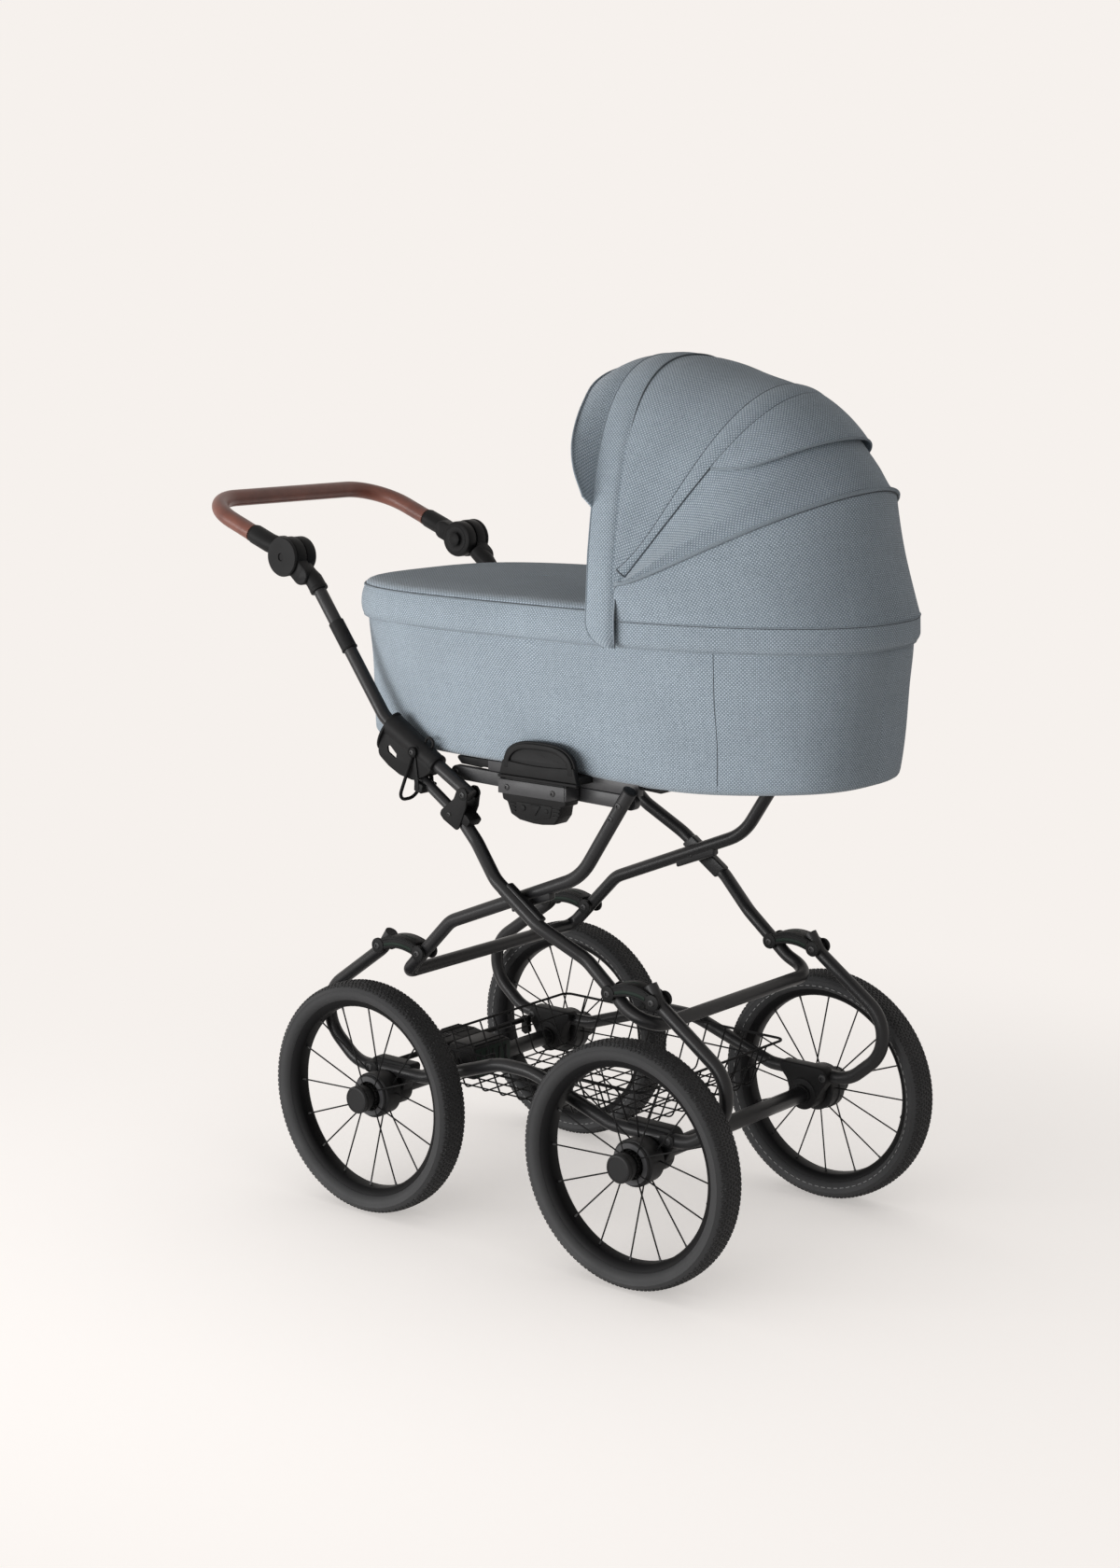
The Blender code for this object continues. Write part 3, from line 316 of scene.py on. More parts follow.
# %% Make the leather
def make_leather():
    """Smooth brown leather: cells of grain and a mottled dye."""
    material, tree, shader = new_material("brown_leather", 0.42)
    shader.inputs["Coat Weight"].default_value = 0.12
    shader.inputs["Coat Roughness"].default_value = 0.35
    place = add_node(tree, "TexCoord").outputs["Object"]
    dye = remap(tree, speckle(tree, place, 26.0, 5.0), 0.32, 0.68)
    brown = mix_colours(tree, dye, (0.12, 0.034, 0.021), (0.205, 0.066, 0.042))
    tree.links.new(brown, shader.inputs["Base Color"])
    cells = result_of(tree, "TexVoronoi", {"Vector": place, "Scale": 620.0}, feature="DISTANCE_TO_EDGE")
    raise_surface(tree, shader, remap(tree, cells, 0.0, 0.25), 0.35, 0.00012)
    return material


LEATHER = make_leather()
print("leather made")

# %% [markdown]
# ## Shape helpers
# Hard pieces start from a bmesh operator: a circle spun round an axle, an outline extruded into
# a plate, or a bevelled cube. Bent tube follows a guide curve. A piece can join several such
# shapes, each with its own finish, and it is moved onto the frame when it is done.

# %% Make basic shapes
def mesh_of(edit, name):
    """The bmesh as a mesh."""
    mesh = bpy.data.meshes.new(name)
    edit.to_mesh(mesh)
    edit.free()
    return mesh


def finish_piece(name, body, shapes, node=None, sharp=32):
    """One object on the frame from (bmeshes, finish) pairs, riding on its body for its node."""
    whole, finishes = bmesh.new(), []
    for group, finish in shapes:
        if finish not in finishes:
            finishes.append(finish)
        for shape in group if isinstance(group, list) else [group]:
            for face in shape.faces:
                face.material_index = finishes.index(finish)
            scratch = mesh_of(shape, "scratch")
            whole.from_mesh(scratch)
            bpy.data.meshes.remove(scratch)
    bmesh.ops.translate(whole, vec=MIDDLE, verts=whole.verts)
    mesh = mesh_of(whole, name)
    for finish in finishes:
        mesh.materials.append(finish)
    mesh.shade_smooth()
    mesh.set_sharp_from_angle(angle=radians(sharp))
    piece = new_object(name, mesh)
    if body:
        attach(piece, body)
    if node:
        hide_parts(node)
    return piece


def tidy(edit):
    bmesh.ops.remove_doubles(edit, verts=edit.verts, dist=1e-6)
    bmesh.ops.recalc_face_normals(edit, faces=edit.faces)
    return edit


def soften(edit, width, segments=2, angle=32):
    """Bevels the edges that turn by more than angle degrees."""
    edges = [e for e in edit.edges if e.is_manifold and e.calc_face_angle(0) > radians(angle)]
    bmesh.ops.bevel(
        edit, geom=edges, offset=width, segments=segments, profile=0.5,
        affect="EDGES", material=-1, clamp_overlap=True,
    )
    return edit


def tubes(runs, sides):
    """Round bars along (points, radius, ring) runs."""
    curve = bpy.data.curves.new("guide", "CURVE")
    curve.dimensions = "3D"
    curve.bevel_depth = 1.0
    curve.bevel_resolution = (sides - 4) // 2
    curve.use_fill_caps = True
    for points, radius, ring in runs:
        spline = curve.splines.new("POLY")
        spline.use_cyclic_u = ring
        spline.points.add(len(points) - 1)
        for control, point in zip(spline.points, points):
            control.co = (*point, 1)
            control.radius = radius
    guide = new_object("guide", curve)
    graph = bpy.context.evaluated_depsgraph_get()
    mesh = bpy.data.meshes.new_from_object(guide.evaluated_get(graph))
    edit = bmesh.new()
    edit.from_mesh(mesh)
    bpy.data.objects.remove(guide)
    bpy.data.curves.remove(curve)
    return tidy(edit)


def tube(points, radius, sides, ring=False):
    return tubes([(points, radius, ring)], sides)


def rod(start, end, radius, sides, end_radius=None, bevel=0.0):
    """A straight round bar or cone between two points."""
    start, end = Vector(start), Vector(end)
    along = end - start
    edit = bmesh.new()
    bmesh.ops.create_cone(
        edit, cap_ends=True, segments=sides, radius1=radius,
        radius2=radius if end_radius is None else end_radius, depth=along.length,
    )
    if bevel:
        soften(edit, bevel)
    turn = Vector((0, 0, 1)).rotation_difference(along).to_matrix().to_4x4()
    bmesh.ops.transform(edit, matrix=Matrix.Translation((start + end) / 2) @ turn, verts=edit.verts)
    return edit


def disc(centre, y_from, y_to, radius, sides, bevel=0.0006):
    """A round plate across the pram, centred on (x, z)."""
    x, z = centre
    return rod((x, y_from, z), (x, y_to, z), radius, sides, bevel=bevel)


def block(low, high, bevel, segments=2):
    edit = bmesh.new()
    bmesh.ops.create_cube(edit, size=1)
    low, high = [[f(a, b) for a, b in zip(low, high)] for f in (min, max)]
    bmesh.ops.scale(edit, vec=[b - a for a, b in zip(low, high)], verts=edit.verts)
    bmesh.ops.translate(edit, vec=[(a + b) / 2 for a, b in zip(low, high)], verts=edit.verts)
    return soften(edit, bevel, segments)


def plate(outline, y_from, y_to, bevel, segments=2, angle=32):
    """A flat plate across Y from an outline of (x, z) points, with its rims softened."""
    edit = bmesh.new()
    face = edit.faces.new([edit.verts.new((x, y_from, z)) for x, z in outline])
    grown = bmesh.ops.extrude_face_region(edit, geom=[face])
    moved = [item for item in grown["geom"] if isinstance(item, bmesh.types.BMVert)]
    bmesh.ops.translate(edit, vec=(0, y_to - y_from, 0), verts=moved)
    tidy(edit)
    if bevel:
        soften(edit, bevel, segments, angle)
    return edit


def round_plate(outline, radius, *sizes):
    """A plate whose corners are rounded."""
    return plate(rounded_outline(outline, radius), *sizes)


def ring_points(centre, y, radius, count=28):
    """Points on a circle across the pram, centred on (x, z)."""
    turns = [2 * pi * i / count for i in range(count)]
    return [(centre[0] + radius * cos(a), y, centre[1] + radius * sin(a)) for a in turns]


def spun(profile, centre=(0, 0), sides=64, side=1):
    """A solid turned about an axis across the pram, from a closed loop of (radius, y)."""
    x, z = centre
    edit = bmesh.new()
    ring = [edit.verts.new((x + radius, side * y, z)) for radius, y in profile]
    edges = [edit.edges.new((ring[i - 1], ring[i])) for i in range(len(ring))]
    bmesh.ops.spin(
        edit, geom=ring + edges, cent=(x, 0, z), axis=(0, 1, 0),
        angle=2 * pi, steps=sides, use_merge=True,
    )
    return tidy(edit)


print("shape helpers ready")

# %% Make paths
def corner_arc(before, corner, after, radius, step, least, reach=None):
    """Points on the arc that rounds one corner, or the corner where the turn is slight."""
    back, ahead = before - corner, after - corner
    half = back.angle(ahead) / 2
    if reach:
        radius = min(radius, min(back.length, ahead.length) * reach * tan(half))
    back.normalize()
    ahead.normalize()
    turn = pi - 2 * half
    if turn < least or radius == 0:
        return [corner]
    middle = corner + (back + ahead).normalized() * radius / sin(half)
    first = corner + back * radius / tan(half) - middle
    last = corner + ahead * radius / tan(half) - middle
    count = max(2, ceil(turn / step))
    shares = [k / count for k in range(count + 1)]
    return [middle + (first * sin((1 - k) * turn) + last * sin(k * turn)) / sin(turn) for k in shares]


def rounded_path(corners, step=radians(6)):
    """Points along straight runs with an arc at each corner; a corner is (point, radius)."""
    places = [Vector(point) for point, radius in corners]
    points = [places[0]]
    for i in range(1, len(corners) - 1):
        points += corner_arc(places[i - 1], places[i], places[i + 1], corners[i][1], step, 0.01)
    return points + [places[-1]]


def side_path(corners, y):
    return rounded_path([((x, y, z), radius) for x, z, radius in corners])


def mirrored_path(corners):
    """A path across the pram: the corners of its left half, then the same on the right."""
    left = [((x, y, z), radius) for x, y, z, radius in corners]
    right = [((x, -y, z), radius) for x, y, z, radius in reversed(corners)]
    return rounded_path(left + right)


def capsule(start, end, radius, count=13):
    """A flat bar's outline with round ends, as (x, z) points."""
    angle = atan2(end[1] - start[1], end[0] - start[0])
    points = []
    for centre, turn in ((end, -pi / 2), (start, pi / 2)):
        for i in range(count):
            at = angle + turn + pi * i / (count - 1)
            points.append((centre[0] + radius * cos(at), centre[1] + radius * sin(at)))
    return points


def rounded_outline(corners, radius, step=radians(18)):
    """A closed (x, z) outline with every corner rounded, as far as its sides allow."""
    points, count = [], len(corners)
    for i in range(count):
        before, corner, after = [Vector(corners[(i + k) % count]) for k in (-1, 0, 1)]
        points += corner_arc(before, corner, after, radius, step, 0.05, 0.45)
    return [tuple(point) for point in points]


def screw_head(centre, y, way, radius):
    """A domed screw head with a socket, whose face looks along way in Y."""
    profile = [
        (0.0, y), (radius, y), (radius, y + way * 0.0008), (radius * 0.8, y + way * 0.0018),
        (radius * 0.45, y + way * 0.0021), (radius * 0.42, y + way * 0.001), (0.0, y + way * 0.001),
    ]
    return spun(profile, centre, 16)


print("path helpers ready")

# %% [markdown]
# ## Wheels
# Each wheel has an air tyre with a knobbly crown, a painted rim with sixteen wire spokes and a
# hub whose cap is pressed to release the wheel. One wheel is modelled at the origin, with its
# axle along Y and its outer side at +Y, and is then copied to the four corners. The right-hand
# copies are mirrored, which turns a mesh inside out, so their normals are recalculated.

# %% Model the tyre and its tread
TYRE_HALF = mm((149, 15), (151.5, 19.5), (156, 23.6), (161, 25.2), (165.2, 25.2), (165.9, 25.7), (166.6, 25),
               (170, 23.2), (172.8, 20), (174.5, 16), (175.4, 11), (175.9, 5.5))
TREAD_ROWS = (-0.0208, -0.0164, -0.0117, -0.006, 0.0, 0.006, 0.0117, 0.0164, 0.0208)
BLOCKS_ROUND = 150
BLOCK_HEIGHT = 0.0014


def crown_radius(y):
    """The tyre's radius at a distance y from its middle plane."""
    previous = (0.176, 0.0)
    for radius, half in reversed(TYRE_HALF):
        if abs(y) <= half:
            share = (abs(y) - previous[1]) / (half - previous[1])
            return previous[0] + (radius - previous[0]) * share
        previous = (radius, half)
    return previous[0]


def tread_blocks():
    """Staggered rows of small tapered blocks round the crown."""
    dice = random.Random(7)
    whole = bmesh.new()
    for row, y in enumerate(TREAD_ROWS):
        slope = (crown_radius(abs(y) + 0.001) - crown_radius(max(abs(y) - 0.001, 0))) / 0.002
        tilt = copysign(atan(-slope), y) if y else 0.0
        for i in range(BLOCKS_ROUND):
            turn = 2 * pi * (i + 0.5 * (row % 2)) / BLOCKS_ROUND
            made = bmesh.ops.create_cube(whole, size=1)["verts"]
            top = [v for v in made if v.co.z > 0]
            bmesh.ops.scale(whole, vec=(0.66, 0.66, 1), verts=top)
            bmesh.ops.scale(whole, vec=(0.0057, 0.0036, BLOCK_HEIGHT), verts=made)
            place = (
                Matrix.Rotation(turn, 4, "Y")
                @ Matrix.Translation((0, y, crown_radius(y) + BLOCK_HEIGHT * 0.3))
                @ Matrix.Rotation(-tilt, 4, "X")
                @ Matrix.Rotation(radians(24 * (-1) ** i + dice.uniform(-6, 6)), 4, "Z")
            )
            bmesh.ops.transform(whole, matrix=place, verts=made)
    return whole


def dashes():
    """The broken pale line on the tyre's inner side."""
    whole = bmesh.new()
    for i in range(86):
        made = bmesh.ops.create_cube(whole, size=1)["verts"]
        bmesh.ops.scale(whole, vec=(0.0066, 0.0005, 0.0009), verts=made)
        place = Matrix.Rotation(2 * pi * i / 86, 4, "Y") @ Matrix.Translation((0, -0.0249, 0.1575))
        bmesh.ops.transform(whole, matrix=place, verts=made)
    return whole


def tyre_shapes():
    profile = TYRE_HALF + [(0.176, 0.0)] + [(r, -half) for r, half in reversed(TYRE_HALF)]
    body = spun(profile, sides=96)
    return [(body, SIDEWALL), (tread_blocks(), TREAD_RUBBER), (dashes(), REFLECTIVE_THREAD)]


print("tread blocks:", len(TREAD_ROWS) * BLOCKS_ROUND)

# %% Model the rim, the spokes and the hub
RIM_PROFILE = mm((139.2, -9), (139.2, 9), (140, 10.6), (142.4, 13.8), (148.6, 17), (149.9, 17.2), (150.3, 15.8),
                 (147.8, 14.6), (147.8, -14.6), (150.3, -15.8), (149.9, -17.2), (148.6, -17), (142.4, -13.8),
                 (140, -10.6))
HUB_PROFILE = mm((6.8, -36), (31, -36), (32.8, -34.5), (32.8, -18), (34.4, -17.2), (34.4, -5.2), (33, -3.6),
                 (31.8, -3.4), (31.4, -0.6), (30.2, 0.8), (22.2, 0.8), (21.2, -0.4), (21.2, -8), (17.2, -8),
                 (17.2, 2.4), (16, 3.4), (6.8, 3.4))
CAP_PROFILE = mm((0, 8.5), (17.6, 8.5), (18, 9), (18, 14.2), (20, 14.4), (20.8, 15.2), (20.8, 21.8), (20, 22.4),
                 (20, 23.4), (20.8, 24), (20.8, 27.2), (19.4, 29.2), (17.2, 29.9), (16.6, 29.2), (0, 29.2))
SPOKES = 16


def spoke_ends(i):
    """Where spoke i leaves the hub and where it meets the rim."""
    inner_set = i % 2 == 0
    hub_radius, hub_y = (0.032, -0.025) if inner_set else (0.016, 0.001)
    angle = 2 * pi * i / SPOKES
    lean = radians(9 if i % 4 < 2 else -9) * (1 if inner_set else 2)
    start = Vector((hub_radius * cos(angle + lean), hub_y, hub_radius * sin(angle + lean)))
    end = Vector((0.14 * cos(angle), 0, 0.14 * sin(angle)))
    return start, end


def rim_shapes():
    runs = [([*spoke_ends(i)], 0.00118, False) for i in range(SPOKES)]
    nipples = []
    for i in range(SPOKES):
        start, end = spoke_ends(i)
        nipples.append(rod(end, end.lerp(start, 0.055), 0.0019, 8, 0.0014))
    valve = rod((0.14, 0, 0), (0.1345, 0, 0), 0.0034, 14, 0.003)
    turn = Matrix.Rotation(radians(11.25), 4, "Y")
    bmesh.ops.transform(valve, matrix=turn, verts=valve.verts)
    ribs = []
    for i in range(20):
        turn = 2 * pi * i / 20
        x, z = 0.0172 * cos(turn), 0.0172 * sin(turn)
        ribs.append(rod((x, -0.007, z), (x, 0.006, z), 0.0011, 6))
    return [
        (spun(RIM_PROFILE, sides=96), SPOKE_WIRE), (tubes(runs, 8), SPOKE_WIRE), (nipples, SCREW_STEEL),
        (valve, PLASTIC), (spun(HUB_PROFILE, sides=48), HUB_PLASTIC), (ribs, PLASTIC),
        (spun(mm((22.6, 0.4), (30, 0.4), (29.8, 1.3), (22.8, 1.3)), sides=48), FLAT_BAR),
    ]


# %% Put the wheels on the four corners
def copies_of(shapes, stem, body_stem, node_stem, sharp):
    """Mirrors and moves one finished wheel piece to each corner."""
    source = finish_piece("source", None, shapes, sharp=sharp)
    for end, ahead in ENDS.items():
        for side, s in SIDES.items():
            edit = bmesh.new()
            edit.from_mesh(source.data)
            bmesh.ops.translate(edit, vec=-MIDDLE, verts=edit.verts)
            if s < 0:
                bmesh.ops.scale(edit, vec=(1, -1, 1), verts=edit.verts)
                bmesh.ops.reverse_faces(edit, faces=edit.faces)
            wheel_y = middle_of(f"tyre_{end}_{side}").y
            centre = MIDDLE + Vector((ahead * AXLE_X, wheel_y, WHEEL_RADIUS))
            bmesh.ops.translate(edit, vec=centre, verts=edit.verts)
            name = f"{stem}_{end}_{side}"
            mesh = source.data.copy()
            mesh.name = name
            edit.to_mesh(mesh)
            edit.free()
            piece = new_object(name, mesh)
            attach(piece, f"{body_stem}_{end}_{side}")
            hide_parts(f"{node_stem}_{end}_{side}")
    bpy.data.objects.remove(source)
    print(stem, "x4:", len(mesh.polygons), "faces each")


copies_of(tyre_shapes(), "air_tyre", "wheel", "tyre", 40)
copies_of(rim_shapes(), "spoked_rim", "wheel", "wheel", 32)
copies_of([(spun(CAP_PROFILE, sides=48), HUB_PLASTIC)], "release_cap", "hub_cap", "hub_cap", 32)

# %% [markdown]
# ## Lower chassis
# Two axles join the wheels, and a bent spring tube on each side rests on them in a moulded
# bracket. Tube is a guide curve with a round section: the bends stay round and even, which a
# row of extruded rings would need care to keep.

# %% Routes of the bent tubes, as (x, z, bend radius) or (x, y, z, bend radius)
SPRING_PIN_X = 0.2585
PIN_Z = 0.403
OUTER_PIN = (0.181, PIN_Z)
INNER_PIN = (-0.178, PIN_Z)
CROSSING = (0.024, 0.514)
HANDLE_PIVOT = (-0.087, 0.653)
RAIL_REAR = (-0.127, 0.678)
RAIL_FRONT = (0.1935, 0.67)
DISC = (-0.439, 0.976)
LOOP_STUD = (-0.181, 0.706)
BRAKE_AXIS = (-0.286, 0.203)
SPRING_TUBE = mm((244, 423, 0), (262, 396, 40), (412.3, 287.9, 59), (318, 208, 60), (178, 209, 60),
                 (30.5, 258, 120))
OUTER_FRAME = mm((-98, 198, 611.5, 0), (-70, 200, 584, 50), (-14, 224, 540, 60), (66, 224, 484, 60),
                 (132, 197, 440.5, 60), (203.5, 197, 381.5, 60), (248, 197, 362, 35))
TONGUE = [(-0.193, 0.675), (-0.092, 0.6075)]
INNER_FRAME = mm((207, 197, 691, 0), (120.5, 197, 558, 90), (-125, 197, 457.7, 50), (-214, 197, 366.5, 16))
HANDLE_TUBE = mm((-384, 928.5, 0), (-252, 748, 50), (-83.5, 650.7, 0))
HANDLE_BAR = [(-0.5, 0.1965, 0.9965, 0), (-0.6374, 0.1971, 1.0499, 0.0729)]


def spring_path(y):
    return side_path(SPRING_TUBE + [(-x, z, r) for x, z, r in reversed(SPRING_TUBE)], y)


# %% Make the axles, spring tubes and their brackets
for end, ahead in ENDS.items():
    half = mm((0, 250.8), (5.8, 250.8), (6, 250), (6, 206.8), (12.2, 206.6), (12.5, 206))
    profile = half + [(r, -y) for r, y in reversed(half)]
    ring = mm((12.7, 170), (15, 170), (15.5, 172), (15, 174), (12.7, 174))
    collars = [spun(ring, (ahead * AXLE_X, WHEEL_RADIUS), 32, s) for s in SIDES.values()]
    axle = spun(profile, (ahead * AXLE_X, WHEEL_RADIUS), 32)
    finish_piece(f"cross_axle_{end}", "chassis", [(axle, TUBE_COAT), (collars, PLASTIC)], f"{end}_axle")


def axle_bracket(end, side):
    """A casting clamped on the spring tube, with a lobe and a bolt, bored for the axle."""
    way, s = ENDS[end], SIDES[side]
    x = AXLE_X * way
    y_in, y_out = s * 0.1765, s * 0.1995
    saddle = mm((-44, 223.5), (-42, 210), (-30, 197), (-20, 166), (18, 162), (30, 185), (40, 199), (43, 212),
                (35, 223.5))
    body = round_plate([(x + way * a, z) for a, z in saddle], 0.012, y_in, y_out, 0.003, 3, 25)
    barrel = disc((x, WHEEL_RADIUS), s * 0.1745, s * 0.206, 0.0245, 40, 0.0025)
    flat = [(x + way * a, z) for a, z in mm((20, 217), (46, 217), (46, 200), (20, 198))]
    web = round_plate(flat, 0.008, s * 0.199, s * 0.2082, 0.0012)
    bolt = (x + way * 0.035, 0.2085)
    bolts = [screw_head(bolt, s * 0.2078, s, 0.006), screw_head(bolt, s * 0.177, -s, 0.006)]
    shapes = [([body, barrel, web], PLASTIC), (bolts, SCREW_STEEL)]
    finish_piece(f"axle_casting_{end}_{side}", "chassis", shapes, f"axle_bracket_{end}_{side}")


for side, s in SIDES.items():
    bar = tube(spring_path(s * FRAME_Y), TUBE_RADIUS, 28)
    tips = [disc((x, PIN_Z), s * FRAME_Y - 0.0115, s * FRAME_Y + 0.0115, 0.0062, 20, 0)
            for x in (SPRING_PIN_X, -SPRING_PIN_X)]
    finish_piece(f"bent_spring_{side}", "chassis", [(bar, TUBE_COAT), (tips, PLASTIC)], f"spring_tube_{side}")
    for end in ENDS:
        axle_bracket(end, side)
print("spring tubes and brackets made")

# %% [markdown]
# ## Basket
# The basket is welded wire: a rim, a second ring half way down, hoops across and runs along,
# with every bend rounded. All of its wires come from one set of guide curves.

# %% Make the wire basket
RIM_Z, FLOOR_Z, BASKET_Y, FLOOR_Y = 0.256, 0.19, 0.1795, 0.15


def ring_path(reach, half_y, z, corner):
    left = rounded_path([((reach, 0, z), 0), ((reach, half_y, z), corner), ((-reach, half_y, z), corner),
                         ((-reach, 0, z), 0)])
    return left + [Vector((p.x, -p.y, p.z)) for p in reversed(left[1:-1])]


def make_basket():
    runs = [(ring_path(0.213, BASKET_Y, RIM_Z, 0.014), 0.0021, True),
            (ring_path(0.2005, 0.167, 0.2275, 0.012), 0.0013, True)]
    for i in range(11):
        x = -0.173 + 0.346 * i / 10
        hoop = [((x, BASKET_Y, RIM_Z), 0), ((x, FLOOR_Y, FLOOR_Z), 0.012), ((x, -FLOOR_Y, FLOOR_Z), 0.012),
                ((x, -BASKET_Y, RIM_Z), 0)]
        runs.append((rounded_path(hoop, radians(15)), 0.0013, False))
    for i in range(9):
        y = -0.132 + 0.033 * i
        run = [((-0.213, y, RIM_Z), 0), ((-0.185, y, FLOOR_Z - 0.002), 0.012),
               ((0.185, y, FLOOR_Z - 0.002), 0.012), ((0.213, y, RIM_Z), 0)]
        runs.append((rounded_path(run, radians(15)), 0.0013, False))
    for x in (-0.055, 0.055):
        for s in SIDES.values():
            hook = [((x, s * BASKET_Y, RIM_Z), 0), ((x, s * 0.182, 0.266), 0.003), ((x, s * 0.203, 0.266), 0)]
            runs.append((rounded_path(hook, radians(30)), 0.0017, False))
    return finish_piece("welded_basket", "chassis", [(tubes(runs, 8), SPOKE_WIRE)], "wire_basket")


basket = make_basket()
print("basket faces:", len(basket.data.polygons))

# %% [markdown]
# ## Brake
# A foot pedal with ribbed pads turns a rod behind the rear axle, and a housing on the axle
# holds its spring.

# %% Make the brake
def make_brake():
    x = -AXLE_X
    shell = block((x - 0.022, -0.045, 0.16), (x + 0.034, 0.045, 0.212), 0.007, 4)
    lid = block((x - 0.016, -0.036, 0.2105), (x + 0.028, 0.036, 0.2145), 0.0015)
    ribs = [block((x + 0.0335, y - 0.002, 0.168), (x + 0.0352, y + 0.002, 0.204), 0.0006)
            for y in (-0.03, -0.015, 0, 0.015, 0.03)]
    dark = block((x + 0.0335, -0.041, 0.163), (x + 0.0342, 0.041, 0.209), 0.0003)
    finish_piece("brake_case", "chassis", [([shell, lid, *ribs], PLASTIC), (dark, GREEN_INLAY)],
                 "brake_housing")
    bar = disc(BRAKE_AXIS, -0.172, 0.172, 0.0045, 20, 0.0008)
    sole = [(x - 0.029, 0.208), (x - 0.034, 0.194), (x - 0.052, 0.192), (x - 0.084, 0.204), (x - 0.084, 0.211),
            (x - 0.05, 0.212)]
    shapes = [round_plate(sole, 0.004, y - 0.025, y + 0.025, 0.0015, 3) for y in (-0.027, 0.027)]
    shapes.append(round_plate(sole[:3] + [(x - 0.06, 0.197), (x - 0.058, 0.2115)], 0.003, -0.01, 0.01, 0.001))
    grips = []
    for middle in (-0.027, 0.027):
        for i in range(7):
            step = x - 0.081 + 0.0052 * i
            grips.append(block((step, middle - 0.021, 0.2105), (step + 0.0026, middle + 0.021, 0.2128), 0.0006))
    for s in SIDES.values():
        tooth = mm((-292, 208), (-280, 208), (-278, 182), (-284, 178), (-292, 182))
        shapes.append(round_plate(tooth, 0.002, s * 0.16, s * 0.17, 0.0008))
    finish_piece("brake_foot_pedal", "brake_pedal", [([bar, *shapes], PLASTIC), (grips, TREAD_RUBBER)],
                 "brake_pedal")


make_brake()
print("brake made")

# %% [markdown]
# ## Folding frame
# Two U-shaped tubes cross on each side. Their feet are held by arched links with a pin at each
# end, and where they cross each tube is pressed flat in a short sleeve.

# %% Make the links
LINK_BOSS = 0.0116


def link_arch(end, low, high, count=25, rise=0.01):
    """(x, z) points along the arch between shares low and high of the way from the spring's tip."""
    tip = SPRING_PIN_X * ENDS[end]
    inner = (OUTER_PIN if end == "front" else INNER_PIN)[0]
    points = []
    for i in range(count):
        share = low + (high - low) * i / (count - 1)
        points.append((tip + (inner - tip) * share, PIN_Z + rise * 4 * share * (1 - share)))
    return points


def arched_strip(end, low, high, under, over):
    line = link_arch(end, low, high)
    return [(x, z + over) for x, z in line] + [(x, z + under) for x, z in reversed(line)]


def make_link(end, side):
    s = SIDES[side]
    y = s * FRAME_Y
    tip, inner = (SPRING_PIN_X * ENDS[end], PIN_Z), (OUTER_PIN if end == "front" else INNER_PIN)
    dark, green, steel = [], [], []
    for way in (-1, 1):
        near, far = y + way * 0.0118, y + way * 0.0155
        dark.append(plate(arched_strip(end, 0.0, 1.0, -0.0088, 0.0092), near, far, 0.0011, 3))
        dark.append(plate(arched_strip(end, 0.1, 0.9, 0.0044, 0.0074), near, far + way * 0.0012, 0.0008))
        dark.append(plate(arched_strip(end, 0.14, 0.86, -0.0072, -0.0046), near, far + way * 0.0012, 0.0008))
        green.append(plate(arched_strip(end, 0.16, 0.84, -0.0044, 0.0002), far - way * 0.0005,
                           far + way * 0.0005, 0.0002))
        for pin in (tip, inner):
            dark.append(disc(pin, near, far + way * 0.0014, LINK_BOSS, 32, 0.0012))
            steel.append(screw_head(pin, far + way * 0.0012, way, 0.0052))
    cover = plate(arched_strip(end, 0.12, 0.9, 0.0062, 0.0094), y - 0.0122, y + 0.0122, 0.001)
    slit = plate(arched_strip(end, 0.42, 0.78, 0.0088, 0.0099), y - 0.0012, y + 0.0012, 0)
    pins = [disc(pin, y - 0.0125, y + 0.0125, 0.004, 14, 0) for pin in (tip, inner)]
    shapes = [([*dark, cover, *pins], PLASTIC), ([*green, slit], GREEN_INLAY), (steel, SCREW_STEEL)]
    finish_piece(f"arched_link_{end}_{side}", f"{end}_links", shapes, f"link_{end}_{side}")


for end in ENDS:
    for side in SIDES:
        make_link(end, side)
print("links made")

# %% Make the two U-shaped frame tubes
def crossing_sleeve(slope, y, half_length=0.042):
    """The pressed stretch of a tube where the two frames cross."""
    along = Vector((cos(slope), 0, sin(slope))) * half_length
    across = Vector((-sin(slope), 0, cos(slope))) * 0.0124
    middle = Vector((CROSSING[0] + 0.008, 0, CROSSING[1] + 0.008 * tan(slope)))
    notch = Vector((cos(slope), 0, sin(slope))) * 0.006
    corners = [middle - along - across, middle + along - across - notch, middle + along + across,
               middle - along + across + notch]
    return plate([(c.x, c.z) for c in corners], y - 0.007, y + 0.007, 0.0032, 4)


